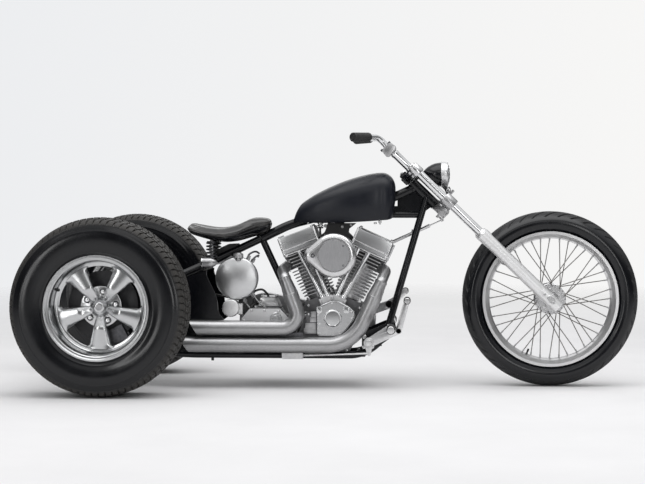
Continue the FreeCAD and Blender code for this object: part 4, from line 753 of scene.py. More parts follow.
def build_rear_wheels():
    for side, sign in (("left", 1), ("right", -1)):
        flip, key, body = sign < 0, "rim_" + side, "rear_wheel_" + side
        barrel = lathe("rear_barrel_" + side, BARREL, 160, REAR[side], key, body,
            flip, 26.0)
        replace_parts(barrel, "rear_rim_" + side)
        build_spokes(side, sign)
        holed_pad(side, sign)
        cap = [(0.0, 2), (CAP_R, 2), (CAP_R, 8), (CAP_R - 0.8, 13)]
        cap += arc_through((CAP_R - 2, 15), (CAP_R - 10, 35), (CAP_R - 19, 44.5), 12)
        cap += arc_through((CAP_R - 20.5, 46.2), (CAP_R - 25, 49), (CAP_R - 31, 49.8),
            8) + [(0.0, 50)]
        Soup().turned(REAR[side] / MM, LEFT * sign, cap, 96).made(
            "rear_cap_" + side, key, body, "wheel_alloy", sharp=28)
        wheel_fastenings(side, sign)


build_rear_wheels()


# ---- front wheel ----------------------------------------------------------------------------
def build_front_wheel():
    """Wires with their nipples and heads, hub rings and the valve."""
    soup, wires, middle = Soup(), Soup(), FRONT / MM
    for side, first in ((1, 0.0), (-1, 9.0)):
        for index in range(20):
            lead = 1 if index % 2 == 0 else -1
            hub_angle = radians(first + index * 18)
            rim_angle = hub_angle + lead * radians(36)
            stand = 36 + lead * 2 + (5 if lead > 0 else -2.05)
            hub_end = around(56.4, hub_angle, side * stand)
            rim_end = around(249.7, rim_angle, side * 5)
            inward = (hub_end - rim_end).normalized()
            wires.tube([middle + hub_end, middle + rim_end], 2.0, 10)
            soup.turned(middle + rim_end - inward * 4, inward,
                ((4.2, 0), (4.2, 3), (3.1, 5), (3.1, 17), (2.2, 19), (0, 19)), 10)
            head = middle + hub_end + LEFT * side * lead * 1.2
            soup.turned(head, LEFT * side * lead, ((3.6, 0), (3.2, 2), (0, 2.8)), 12)
    for side in (1, -1):
        for low, high, radius in ((38, 42, 33), (42, 56, 27.5), (56, 60, 25), (63, 69.9, 23.5)):
            soup.collar(middle, LEFT * side, 20, radius, low, high, 1, 48)
    soup.made("front_nipples", "chrome_satin", "front_wheel")
    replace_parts(wires.made("front_wires", "wire", "front_wheel"), "front_spokes")
    way = Vector((-0.38, 0, -0.925))
    valve = Soup().turned(middle + way * 251, -way, ((5, -2), (5, 3), (3.8, 4), (3.6, 12),
        (4.4, 12), (4.4, 21), (3.4, 23), (0, 23)), 16)
    valve.made("front_valve", "grip", "front_wheel")


build_front_wheel()


# ---- seat -----------------------------------------------------------------------------------
# x from the crank, bottom, edge, top, half width
SEAT_ROWS = ((-608, 638, 661, 688, 96), (-570, 625, 646, 671, 132), (-470, 600, 624, 656, 143),
             (-400, 603, 632, 668, 120), (-342, 619, 656, 695, 90), (-300, 632, 672, 708, 68),
             (-258, 650, 680, 707, 50))


def table_at(table, x):
    """Values of a table's columns at x, on a smooth curve through its rows."""
    index = max(i for i in range(len(table) - 1) if table[i][0] <= x or i == 0)
    values, span = [], table[index + 1][0] - table[index][0]
    t = (x - table[index][0]) / span

    def slope(at, column):
        low, high = max(at - 1, 0), min(at + 1, len(table) - 1)
        return (table[high][column] - table[low][column]) / (table[high][0] - table[low][0])

    for column in range(1, len(table[0])):
        a, b = table[index][column], table[index + 1][column]
        m, n = slope(index, column) * span, slope(index + 1, column) * span
        values.append((2 * t ** 3 - 3 * t * t + 1) * a + (t ** 3 - 2 * t * t + t) * m
            + (3 * t * t - 2 * t ** 3) * b + (t ** 3 - t * t) * n)
    return values


def seat_row(x):
    """Bottom, edge, top and half width of the seat at a distance from the crank."""
    return table_at(SEAT_ROWS, x)


def seat_loop(x, shrink, power=0.72, count=48):
    """One cross-section, a rounded box, pulled in by shrink and closed off at the two ends."""
    low, edge, top, wide = seat_row(x)
    first, last = SEAT_ROWS[0][0], SEAT_ROWS[-1][0]
    near = min(1.0, max(0.0, x - first) / 20, max(0.0, last - x) / 26)
    closing = sqrt(max(0.0, 1 - (1 - near) ** 2))
    middle = (low + top) / 2
    low, top = middle + (low - middle) * closing + shrink * closing, middle + (top
        - middle) * closing
    top -= shrink * closing
    wide = (wide - shrink) * (0.62 + 0.38 * closing)
    sill = min(max(edge, low + 1), top - 1) if closing > 0.1 else middle
    points = []
    for step in range(count):
        c, s = cos(TAU * step / count), sin(TAU * step / count)
        rise = (top - sill) if s > 0 else (sill - low)
        points.append(from_crank(x, 0, 0) * 1 + Vector((0, wide * copysign(abs(c) ** power, c),
            sill - CRANK.z + rise * copysign(abs(s) ** (power if s > 0 else 0.9), s))))
    return points


def seat_stations(start, end, count):
    """Stations crowded towards both ends."""
    return [start + (end - start) * (0.5 - 0.5 * cos(pi * i / (count - 1))) for i in range(count)]


# How far a point of the pad may move, in metres, and how many frames the cloth runs.
SWELL_REACH, SWELL_FRAMES = 0.007, 20


def swollen(made, rest):
    """Inflates a pad as cloth, holding every point within reach of where it began."""
    cloth = made.modifiers.new("cloth", "CLOTH")
    cloth.settings.use_pressure = True
    cloth.settings.uniform_pressure_force = 4.0
    cloth.settings.tension_stiffness = 30
    cloth.settings.bending_stiffness = 2.0
    cloth.settings.effector_weights.gravity = 0
    cloth.point_cache.frame_start, cloth.point_cache.frame_end = 1, SWELL_FRAMES
    for step in range(1, SWELL_FRAMES + 1):
        bpy.context.scene.frame_set(step)
    apply_modifiers(made)
    for vertex, before in zip(made.data.vertices, rest):
        move = vertex.co - before
        if move.length > SWELL_REACH:
            vertex.co = before + move.normalized() * SWELL_REACH
    bpy.context.scene.frame_set(1)


def build_seat():
    first, last = SEAT_ROWS[0][0], SEAT_ROWS[-1][0]
    core = Soup().rows([seat_loop(x, 5.0) for x in seat_stations(first + 5, last - 5, 44)])
    pad = core.made("seat_pad", "leather", sharp=80)
    remesh = pad.modifiers.new("remesh", "REMESH")
    remesh.mode, remesh.voxel_size, remesh.use_smooth_shade = "VOXEL", 0.005, True
    smooth = pad.modifiers.new("smooth", "SMOOTH")
    smooth.iterations = 4
    apply_modifiers(pad)
    swollen(pad, [vertex.co.copy() for vertex in pad.data.vertices])
    crease_line(pad)
    finer = pad.modifiers.new("finer", "SUBSURF")
    finer.levels = 1
    apply_modifiers(pad)
    if not pad.data.materials:
        pad.data.materials.append(M["leather"])
    pad.data.shade_smooth()
    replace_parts(pad, "seat")
    seat_trim(pad)


def seam_height(x):
    low, _, top, _ = seat_row(x)
    return low + (top - low) * 0.5


def crease_line(pad):
    """Draws the side of the pad in along its seam."""
    for vertex in pad.data.vertices:
        x, z = vertex.co.x / MM - CRANK.x, vertex.co.z / MM
        x = min(max(x, SEAT_ROWS[0][0]), SEAT_ROWS[-1][0])
        wide = seat_row(x)[3]
        out = Vector((vertex.co.x / MM - CRANK.x + 440, vertex.co.y / MM * 1.2, 0))
        if out.length > 0.6 * wide:
            pull = 2.2 * exp(-((z - seam_height(x)) / 3.0) ** 2)
            vertex.co -= out.normalized() * pull * MM


def seat_edge(made, height, grow, count=160):
    """Loop of points on the pad's side at a height given by x."""
    tree = BVHTree.FromObject(made, bpy.context.evaluated_depsgraph_get())
    points = []
    for step in range(count):
        angle = TAU * step / count
        heading = Vector((cos(angle), sin(angle), 0))
        start, spot, x = from_crank(-430, 0, 0), None, -430.0
        for _ in range(4):
            z = height(min(max(x, SEAT_ROWS[0][0]), SEAT_ROWS[-1][0]))
            far = Vector((start.x, 0, z)) + heading * 420
            hit = tree.ray_cast(far * MM, -heading)[0]
            if hit is None:
                break
            spot = hit / MM
            x = spot.x - CRANK.x
        if spot is not None:
            points.append(spot + heading * grow)
    return points


def seat_trim(pad):
    """Welt along the seam, and the steel pan under the pad."""
    welt = Soup().tube(seat_edge(pad, seam_height, -0.4), 1.7, 8, True)
    welt.made("seat_welt", "leather", sharp=60)
    rows = []
    for x in seat_stations(SEAT_ROWS[0][0] + 3, SEAT_ROWS[-1][0] - 3, 40):
        outer = seat_loop(x, -0.8, 0.8)[26:47]
        rows.append(outer + [point + UP * 2.6 for point in reversed(outer)])
    Soup().rows(rows).made("seat_pan", "frame", sharp=40)


build_seat()


# ---- seat springs ---------------------------------------------------------------------------
def build_springs():
    coils, bolts = Soup(), Soup()
    for side in (1, -1):
        foot = from_crank(-504, side * 72, 0)
        path = []
        for step in range(5 * 24 + 1):
            turn = step / 24
            level = 538 + 58 * min(max((turn - 0.35) / 4.3, 0), 1)
            path.append(Vector((foot.x + 20.5 * cos(TAU * turn), foot.y + 20.5 * sin(TAU * turn),
                level)))
        coils.tube(path, 3.4, 10)
        for level, radius in ((532, 22), (598, 20)):
            coils.turned(Vector((foot.x, foot.y, level)), UP,
                ((0, 0), (radius, 0), (radius + 0.8, 1.4), (radius, 4), (0, 4)), 32)
        base = Vector((foot.x, foot.y, 514))
        bolts.turned(base, UP, ((0, 0), (7, 0), (7, 96), (0, 96)), 24)
        bolts.turned(base + UP * 4, UP, ((0, 0), (12.5, 0), (12.5, 9), (11, 11), (0, 11)), 6)
        bolts.turned(base + UP * 36, UP, ((0, 0), (10, 0), (11, 4), (11, 34), (10, 38), (0, 38)),
            28)
        inner = Vector((foot.x, side * 56, 524))
        coils.tube([Vector((foot.x, foot.y, 536)), inner], 7, 16)
    made = coils.made("seat_spring_coils", "steel", sharp=50)
    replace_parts(made, "seat_springs")
    bolts.made("seat_spring_bolts", "chrome_satin")


build_springs()


# ---- engine dress ---------------------------------------------------------------------------
def rounded(half_x, low, high, radius=6, steps=4):
    """Loop of (x, z) round a box with rounded corners."""
    corners = ((half_x, high, 0), (-half_x, high, 90), (-half_x, low, 180), (half_x, low, 270))
    loop = []
    for x, z, start in corners:
        cx, cz = x - copysign(radius, x), z - (radius if z == high else -radius)
        for step in range(steps + 1):
            angle = radians(start + 90 * step / steps)
            loop.append((cx + radius * cos(angle), cz + radius * sin(angle)))
    return loop


CAM_OUTLINE = ((0, 127), (28, 124), (74, 100), (96, 78), (94, 52), (56, 0), (30, -23),
               (-54, -23), (-63, -14), (-63, 88), (-46, 107))
PUSHRODS = ((-38, 130, -27.0), (-14, 134, -23.0), (16, 134, 24.0), (42, 128, 29.0))


def ring_of(name, half_x, right, left, level, radius=8):
    """Rounded rectangle square to a cylinder, at a level up it."""
    middle, half_y = (right + left) / 2, (left - right) / 2
    return [on_cylinder(name, x, middle + y, level) for x,
        y in rounded(half_x, -half_y, half_y, radius)]


def build_rocker_dress():
    """Rocker boxes with bright flanges, corner posts, gasket lines and cap screws."""
    boxes, bright, screws, black = Soup(), Soup(), Soup(), Soup()
    for name in LEANS:
        up = up_cylinder(name)
        levels = ((77.4, 357, 9), (77.4, 378, 9), (79.5, 381, 7), (79.5, 429.5, 7),
            (78.9, 431.6, 7), (77.2, 433.2, 7), (74.8, 434, 6))
        boxes.rows([ring_of(name, half, -112 + (79.5 - half), 72 - (79.5 - half), level, r)
                    for half, level, r in levels])
        eased(bright, ring_of(name, 80.2, -112.8, 72.8, 355.3, 9), up * 6.2, 1.2)
        eased(bright, ring_of(name, 80.2, -112.8, 72.8, 377.4, 9), up * 5.0, 1.2)
        eased(black, ring_of(name, 78.6, -111.2, 71.2, 361.5, 8), up * 1.8, 0.3)
        eased(black, ring_of(name, 79.0, -111.6, 71.6, 382.2, 8), up * 1.6, 0.3)
        for x in (-75.6, 75.6):
            for y in (-107.6, 67.6):
                bright.turned(on_cylinder(name, x, y, 361), up,
                    ((5.6, 0), (5.6, 70), (4.8, 71.4), (0, 71.4)), 20)
                screws.screw(on_cylinder(name, x * 0.93, y * 0.93, 433.6), up, 7)
            screws.screw(on_cylinder(name, x * 0.93, -20, 433.6), up, 7)
        for x, y in ((-50, -60), (50, -60), (-50, 52), (50, 52)):
            screws.nut(on_cylinder(name, x, y, 150), up, 15, 9)
    made = boxes.made("rocker_box_shells", "cover", sharp=30)
    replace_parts(made, "rocker_box_front", "rocker_box_rear")
    bright.made("rocker_flanges", "bright", sharp=30)
    black.made("rocker_gaskets", "plastic")
    screws.made("rocker_screws", "bright", sharp=26)


def corner_cut(loop, reach, steps=5):
    """Loop with every corner turned in a curve that starts at most reach before it."""
    made = []
    for before, corner, after in zip(loop[-1:] + loop[:-1], loop, loop[1:] + loop[:1]):
        first = corner + (before - corner) * min(0.45, reach / (before - corner).length)
        last = corner + (after - corner) * min(0.45, reach / (after - corner).length)
        for t in (i / steps for i in range(steps + 1)):
            made.append(first * (1 - t) ** 2 + corner * 2 * t * (1 - t) + last * t * t)
    return made


def build_cam_cover():
    """Cover with a polished edge, raised shoulders beside its peak and a ringed boss."""
    made = Soup()
    outline = corner_cut([from_crank(x, 0, z) for x, z in CAM_OUTLINE], 9)
    rows = []
    for y, drawn in ((-108, 0), (-130.5, 0), (-133.4, 0.8), (-135.2, 2.4), (-136, 4.6), (-136, 8)):
        rows.append([p + RIGHT * -y for p in (inset(outline, RIGHT, drawn) if drawn else outline)])
    made.rows(rows)
    made.turned(from_crank(4, -130, 52), RIGHT, ((36, 0), (36, 8.6), (34.8, 10.4), (30, 11),
        (0, 11)), 72)
    for x, half in ((-52, 10.5), (60, 11.5)):
        panel(made, -135.4, [(x + a, 88 + b) for a, b in rounded(half, -14, 14)], RIGHT * 3.2, 1.4)
    shell = made.made("cam_cover_shell", "cam", sharp=30)
    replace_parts(shell, "cam_cover")


def build_case_dress():
    """Engine screws, the cam cover's ring, pushrod collars, oil pump, heads' painted shade plates
    and hoses.
    """
    screws, polished = Soup(), Soup()
    for x, z in ((82, 80), (84, 54), (34, -12), (-52, -11), (-53, 28), (-53, 72), (0, 116)):
        screws.button(from_crank(x, -135.4, z), RIGHT, 4.6)
    ring = ((29, 4), (29, 5.2), (30.2, 6.2), (34, 6.4), (36.4, 5), (37.6, 2.4), (37.6, 0), (29, 0))
    polished.turned(from_crank(4, -136, 52), RIGHT, ring, 72, True)
    for x, z, lean in PUSHRODS:
        angle = radians(lean)
        up = Vector((sin(angle), 0, cos(angle)))
        foot = from_crank(x, -93, z) - up * 16
        for low, high, radius in ((29, 35, 14.6), (126, 133, 11.6), (133, 150, 10.8),
                (188, 192, 11.6)):
            polished.collar(foot, up, 9, radius, low, high, 0.8, 28)
    for name, middle in (("rear", 22), ("front", -28)):
        for x in (-23, 23):
            screws.screw(on_cylinder(name, middle + x, -108, 126), RIGHT, 6)
    for x, z in ((-112, 60), (-126, -30), (-60, -84), (0, -88), (60, -84), (112, 20), (112, 92),
            (-100, 102)):
        for y, out in ((-72, RIGHT), (72, LEFT)):
            screws.screw(from_crank(x, y, z), out, 7)
    for x, z in ((-98, 2), (-70, 2), (-98, 66), (-70, 66)):
        screws.screw(from_crank(x, -102, z), RIGHT, 6)
    steps = Soup()
    for low, left, right, high in ((-14, -118, -66, 10), (10, -112, -66, 30), (34, -92, -66, 54),
            (56, -88, -66, 78)):
        panel(steps, -98, box(left, right, low, high), RIGHT * 10, 1.6)
    steps.made("pump_steps", "case", slot="engine_alloy", sharp=30)
    shade_plates, hoses = Soup(), Soup()
    # Black plates on each head's face below the rocker box: painted shade, not a real part.
    for name in LEANS:
        eased(shade_plates, [on_cylinder(name, x, -66.4, level) for x, level in box(-67, 67, 306, 356)],
              RIGHT * 1.2, 0.3)
    for points in (((-356, -88, 40), (-348, -92, 70), (-338, -88, 94), (-322, -76, 112),
            (-316, -60, 120)), ((-344, -64, 130), (-326, -60, 158), (-296, -56, 166),
            (-276, -50, 150), (-270, -40, 136)), ((-372, -60, 110), (-352, -72, 122),
            (-334, -70, 108), (-328, -60, 84)), ((-150, -90, 30), (-140, -96, 66), (-128, -98, 96),
            (-116, -92, 112)), ((-146, -84, -20), (-136, -96, 10), (-126, -100, 44),
            (-120, -96, 84))):
        hose(hoses, from_crank(0, 0, 0), points, 4.6)
    shade_plates.made("head_shadow_plates", "plastic", sharp=30)
    hoses.made("breather_hoses", "grip", sharp=50)
    screws.made("engine_screws", "bright", sharp=26)
    polished.made("engine_trim_rings", "chrome", sharp=30)


# The air cleaner's middle, its two radii, and how far apart they lie.
AIR = from_crank(12, 0, 314)
AIR_BIG, AIR_SMALL, AIR_BACK = 91.0, 31.0, 92.0


def teardrop(drawn, y):
    """Outline of the air cleaner, pulled in by drawn."""
    lean, loop = asin((AIR_BIG - AIR_SMALL) / AIR_BACK), []
    for x, radius, first, swept, steps in ((0, AIR_BIG, -pi / 2 - lean, pi + 2 * lean, 56),
            (-AIR_BACK, AIR_SMALL, pi / 2 + lean, pi - 2 * lean, 22)):
        for step in range(steps + 1):
            loop.append(AIR + Vector((x, y, 0)) + around(radius - drawn,
                first + swept * step / steps))
    return loop


def disc_loop(radius, y):
    """Circle about the air cleaner's middle with as many points as its outline."""
    middle = AIR + LEFT * y
    return [middle + (point - middle).normalized() * radius for point in teardrop(14, y)]


def build_air_cleaner():
    rows = [teardrop(drawn, y) for drawn, y in ((2, -158), (0, -160), (0, -196), (1.6, -201.5),
        (5, -206.5), (10, -210.4), (16, -212.8))]
    rows += [disc_loop(radius, y) for radius, y in ((67, -213.8), (64.5, -213.6), (63.8, -212.2),
        (62, -212.2), (0.01, -212.2))]
    made = Soup().rows(rows).made("air_cleaner_cover", "air_cover", sharp=34)
    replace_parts(made, "air_cleaner")
    disc = Soup().turned(AIR + RIGHT * 211.5, RIGHT, ((0, 0), (62.8, 0), (62.8, 1.2), (62, 2.1),
        (0, 2.1)), 96)
    disc.made("air_cleaner_disc", "air_disc", sharp=26)
    screws = Soup()
    for z in (40, -40):
        screws.turned(AIR + Vector((38, -213.8, z)), RIGHT, (
            (4.4, -1), (4.4, 0.5), (3.4, 0.9), (2.2, 0.9), (2.0, -0.4), (0, -0.4)), 20)
    screws.turned(AIR + Vector((-86, -213.6, 0)), RIGHT, (
        (9, -1), (9, 0.6), (7.6, 1.4), (4.2, 1.4), (3.8, -0.8), (0, -0.8)), 28)
    screws.made("air_cleaner_screws", "steel", sharp=26)


def build_carburettor():
    """Flanges, bowl plug, throttle wheel, fuel hose and its filter behind the air cleaner."""
    metal, line = Soup(), Soup()
    for low, high, radius in ((42, 50, 34), (50, 56, 31), (96, 104, 33), (140, 148, 33)):
        metal.turned(AIR, RIGHT, ((28, low), (radius, low), (radius, high), (28, high)), 40, True)
    for angle in range(20, 380, 90):
        metal.nut(AIR + around(33, radians(angle), -150), RIGHT, 8, 5, False)
    for dx, dz in ((-20, -56), (20, -56), (-20, -10), (20, -10)):
        metal.screw(AIR + Vector((dx, -142, dz)), RIGHT, 5)
    metal.turned(from_crank(12, -120, 252), -UP, ((11, -1), (11, 5), (7, 9), (0, 9)), 6)
    metal.turned(from_crank(46, -118, 322), (1, 0, 0), ((12, -8), (22, -4), (22, 0), (17, 3),
        (0, 3)), 32)
    hose(line, from_crank(0, 0, 0), ((-18, -118, 318), (-34, -112, 336), (-44, -92, 372),
        (-52, -66, 408), (-52, -52, 424)), 4.4, 8)
    metal.turned(from_crank(-52, -46, 446), -UP, ((13, -4), (13, 4), (9, 7), (9, 18), (0, 18)), 24)
    metal.turned(from_crank(-66, -46, 428), (1, 0, 0), ((6, 0), (7, 2), (7, 24), (6, 26), (0, 26)),
        16)
    metal.turned(from_crank(-30, -48, 432), RIGHT, ((6, 0), (7.5, 1), (7.5, 12), (0, 12)), 16)
    metal.made("carburettor_fittings", "bright", sharp=28)
    line.made("fuel_hose", "grip", slot="black_plastic")


# The gearbox shaft that carries the belt's front pulley.
SHAFT = from_crank(-294, 0, 30)


def build_gearbox_dress():
    """Screws, plugs, lid and gaskets of the gearbox, and plates of the primary drive."""
    screws, plates = Soup(), Soup()
    for x, z in ((-362, -24), (-326, -60), (-270, -62), (-220, -60), (-192, -24), (-192, 44),
            (-220, 80), (-280, 82), (-334, 82), (-364, 40)):
        screws.screw(from_crank(x, -119, z), RIGHT, 6.5)
    for x in (-306, -226):
        for y in (-46, -8, 32):
            screws.screw(from_crank(x + (8 if x < -260 else -12), y, 136), UP, 6)
    lid, black = Soup(), Soup()
    panel(lid, -51, ((-311, 96), (-221, 96), (-240, 134), (-300, 134)), RIGHT * 8, 2.4)
    panel(lid, -58, ((-299, 101), (-234, 101), (-246, 127), (-292, 127)), RIGHT * 3, 1.2)
    lid.made("gearbox_lid_face", "controls", sharp=30)
    for low, high, y, wide in ((89.5, 94.5, -61, 52), (133.4, 135.2, -60.4, 34)):
        panel(black, y, box(-267 - wide, -267 + wide, low, high), LEFT * 90, 0.5)
    panel(black, -116, ((-378, -30), (-332, -72.4), (-213, -72.4), (-179.6, -31), (-179.6, 56),
        (-214, 93.4), (-341, 93.4), (-377.4, 51)), LEFT * 5, 0.8)
    panel(black, -80, ((-392, 60), (-334, 66), (-330, 130), (-352, 148), (-392, 140)), LEFT * 50, 6)
    black.made("gearbox_gaskets", "plastic", sharp=30)
    plates.turned(from_crank(-232, -119, 50), RIGHT, ((0, 0), (25, 0), (25, 2), (23, 4), (14, 4),
        (12, 6.5), (0, 6.5)), 40)
    plates.turned(from_crank(-330, -119, 8), RIGHT, ((0, 0), (15, 0), (15, 5), (13, 7), (0, 7)), 6)
    outline = [from_crank(-268 + x, -52.2, 112 + z) for x, z in rounded(26, -14, 16, 4)]
    plates.slab(outline, RIGHT * 2.4, 1.6)
    for index in range(14):
        angle = TAU * index / 14
        if cos(angle) > -0.2:
            screws.screw(from_crank(0, 156, 0) + around(74 if index in (3, 4, 10, 11) else 76,
                angle), LEFT, 7)
        if cos(angle) < 0.3:
            screws.screw(SHAFT + around(100, angle, 156), LEFT, 7)
    for x in (-150, -90):
        screws.screw(from_crank(x, 158, 92 - (x + 150) * 0.16), LEFT, 7)
        screws.screw(from_crank(x, 158, -66 - (x + 150) * 0.1), LEFT, 7)
    plates.turned(SHAFT + LEFT * 158, LEFT, ((0, 0), (62, 0), (62, 5), (59, 8), (50, 9), (48, 8),
        (0, 8)), 72)
    loop = [from_crank(-96 + x, 159.6, 4 + z) for x, z in rounded(58, -26, 26, 22, 8)]
    plates.slab(loop, LEFT * 4, 2.5)
    plates.turned(from_crank(0, 158, 0), LEFT, ((0, 0), (34, 0), (34, 3), (31, 5), (0, 5)), 48)
    for x in (-145, -47):
        screws.screw(from_crank(x, 163, 4), LEFT, 6)
    for index in range(3):
        screws.screw(SHAFT + around(52, TAU * (index + 0.25) / 3, 166), LEFT, 6)
    screws.made("gearbox_screws", "bright", sharp=26)
    plates.made("gearbox_plates", "cover", sharp=28)


# ---- oil tank, hoses and lamps --------------------------------------------------------------
def build_oil_tank():
    """Domed drum on its narrower body, with its cap, fittings, breathers and oil lines."""
    middle = from_crank(-397, 0, 215)
    shell = [(0, 118)] + [(r, 118 - 15.5 * (r / 84) ** 2) for r in (12, 24, 36, 48, 58, 67, 75, 81)]
    shell += [(84.6, 101.6), (87, 99.6), (88.5, 96.6), (89, 93), (89, 76), (88, 71), (85, 66),
        (80, 63), (72, 62), (66, 61.6), (66, -62), (62, -68), (54, -70), (0, -70)]
    drum = Soup().turned(middle, RIGHT, shell, 96)
    for side in (1, -1):
        drum.rows([[middle + Vector((x, side * y, z)) for x, y in box(-50, -26, 33, 53)]
            for z in (40, 92)])
    made = drum.made("oil_tank_shell", "drum", sharp=30)
    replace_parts(made, "oil_tank")
    bits, lines, dark = Soup(), Soup(), Soup()
    top = middle + Vector((7, -98, 80))
    bits.turned(top, UP, ((14, -6), (13, 4), (12.5, 16), (0, 16)), 32)
    cap, knurl = Soup(), []
    for height, swell in ((5, 0), (7, 1.4), (19, 1.4), (22.5, 0)):
        radii = [19.4 + (swell if step % 4 < 2 else 0) for step in range(96)]
        knurl.append([top + Vector((radius * cos(TAU * step / 96), radius * sin(TAU * step / 96),
            height)) for step, radius in enumerate(radii)])
    cap.rows(knurl)
    cap.turned(top, UP, ((17, 22), (13, 26), (6, 28), (0, 28.4)), 32)
    cap.made("oil_cap", "case", slot="brushed", sharp=50)
    seam = [middle + around(89.2, TAU * s / 96, -88) for s in range(96)]
    bits.tube(seam, 0.9, 6, True)
    for x, y, z, way in ((42, -84, 72, (0.5, 0, 1)), (58, -70, 62, (0.7, 0, 1)),
            (60, -84, -60, (0.7, 0, -1)), (30, -76, -82, (0.3, 0, -1))):
        bits.turned(middle + Vector((x, y, z)), way, ((7, -8), (7, 6), (9.5, 6), (9.5, 16),
            (7.5, 17), (7.5, 24), (0, 24)), 6)
    for points in (((46, -84, 90), (52, -80, 100), (66, -66, 108), (78, -44, 108), (86, -20, 100)),
            ((66, -70, 78), (76, -68, 88), (84, -58, 92), (86, -40, 92), (82, -16, 86)),
            ((74, -84, -80), (96, -88, -104), (150, -92, -140), (220, -92, -150), (290, -94, -140)),
            ((38, -76, -106), (60, -84, -128), (130, -88, -152), (220, -88, -162),
            (292, -92, -158))):
        hose(dark if points[0][2] > 0 else lines, middle, points, 4.0)
    bits.made("oil_tank_fittings", "chrome_satin", sharp=28)
    for x, y, z, wide in ((20, -78, 92, 13), (36, -74, 90, 11), (50, -64, 84, 12)):
        bits.turned(middle + Vector((x, y, z)), (0.15, 0, 1),
            ((wide * 0.6, -8), (wide * 0.6, 2), (wide, 3), (wide, 11), (wide * 0.7, 13),
            (wide * 0.7, 19), (0, 19)), 8)
    dark.made("oil_breather_lines", "steel", sharp=60)
    lines.made("oil_lines", "braid", sharp=60)


def build_filter():
    """Spin-on oil filter: rolled end, domed face and grip flutes."""
    middle = from_crank(-420, 0, 92)
    can = [(0, 123.9), (31.6, 123.5), (33.6, 122.6), (35.2, 120.6), (36, 117), (36, 66), (34.5, 62),
        (28, 60), (0, 60)]
    made = Soup().turned(middle, RIGHT, can, 72)
    flutes = []
    for y in (98, 100, 114, 117):
        swell = 1.0 if 99 < y < 116 else -0.4
        flutes.append([middle + around(36 + (swell if step % 6 < 3 else -0.4), TAU * step / 108, -y)
            for step in range(108)])
    made.rows(flutes)
    made.rows([[Vector((x, y, z)) for x, z in ((middle.x + 20, 302), (middle.x + 48, 300),
        (middle.x + 48, 345), (middle.x + 20, 342))] for y in (-110, -80)])
    made = made.made("oil_filter_can", "slider", sharp=30)
    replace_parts(made, "oil_filter")


def build_lamps():
    """Red lenses in the tails of the marker lamps, with rings and stalk nuts."""
    lenses, rings = Soup(), Soup()
    for side in (1, -1):
        tail = Vector((CRANK.x - 469 - 68, side * 150, 516))
        lenses.turned(tail + Vector((3.2, 0, 0)), (-1, 0, 0),
            ((18.4, 0), (18, 1.4), (14, 2.4), (8, 3.0), (0, 3.2)), 40)
        rings.turned(tail, (1, 0, 0), ((18.2, 0.1), (21.4, 0.1), (21.9, 1.0), (21.9, 5),
            (21.3, 5.8), (18.2, 5.8)), 48, True)
        rings.turned(Vector((CRANK.x - 503, side * 126, 514)), LEFT * side,
            ((7, -8), (9, -8), (9, -1), (7, 0)), 24, True)
    lenses.made("marker_lenses", "lens_red", sharp=40)
    rings.made("marker_rings", "chrome")


def build_headlight():
    """Ring, fluted lens, reflector, bolts, and the stud under the lamp with its boot."""
    at = steer(120, 0, 58)
    ring = Soup().turned(at, (1, 0, 0), ((50.5, -19.6), (52.6, -19.6), (54, -18), (54, -4),
        (53.4, 2), (51.6, 7), (49.4, 9.6), (47.4, 9.4), (46.8, 6), (46.8, -15)), 80, True)
    made = ring.made("headlight_rim", "ring", "steering", "brushed", sharp=30)
    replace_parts(made, "headlight_ring")
    lens = Soup().turned(at, (1, 0, 0), ((46.6, 5), (46.6, 7.4), (40, 11.4), (30, 14.8), (18, 17),
        (0, 17.9)), 64)
    lens.made("headlight_lens", "glass", "steering", sharp=50)
    bowl = Soup().turned(at, (1, 0, 0), ((46, 4), (38, -4), (26, -10), (10, -13), (0, -13.5),
        (0, -14.5), (11, -14), (27, -11), (39, -5), (46.6, 4)), 48)
    bowl.turned(at + Vector((-13, 0, 0)), (1, 0, 0), ((6, 0), (6, 12), (4, 15), (0, 16)), 20)
    bowl.made("headlight_bowl", "chrome", "steering")
    bolts = Soup()
    for side in (1, -1):
        bolts.nut(steer(80, side * 13, 5), LEFT * side, 12, 6)
    barrel = at + Vector((9, 0, -56.5))
    Soup().turned(barrel, -UP, ((0, -6), (8.6, -6), (9.6, 1), (9.6, 16), (8.6, 17), (0, 17)),
        32).made("headlight_stud", "ring", "steering", sharp=30)
    Soup().turned(barrel, -UP, ((0, 16.5), (8.8, 16.5), (8.8, 25), (7, 27.5), (0, 27.5)), 28).made(
        "headlight_stud_boot", "grip", "steering")
    bolts.made("headlight_bolts", "bright", "steering", sharp=26)


# x from the crank, bottom, top, half width
TANK_ROWS = ((-165, 680, 692, 36), (-160, 680, 706, 44), (-152, 680, 726, 53), (-134, 679, 754, 67),
             (-100, 679, 780, 82), (-60, 678, 804, 95), (10, 679, 837, 110),
             (77, 682, 862, 118), (136, 685, 878, 119), (180, 688, 886, 115), (205, 690, 887, 108))
# Length of its rounded front end, and the height of its fullest part.
TANK_FRONT, TANK_BELLY = 55, 775
# The backbone's tunnel: half its width, where its roof's slope starts, and the rise along X.
TUNNEL_HALF, TUNNEL_X, TUNNEL_Z = 27, -182, 698
TUNNEL_RISE = 107 / (NECK.x - 190 - CRANK.x - TUNNEL_X)


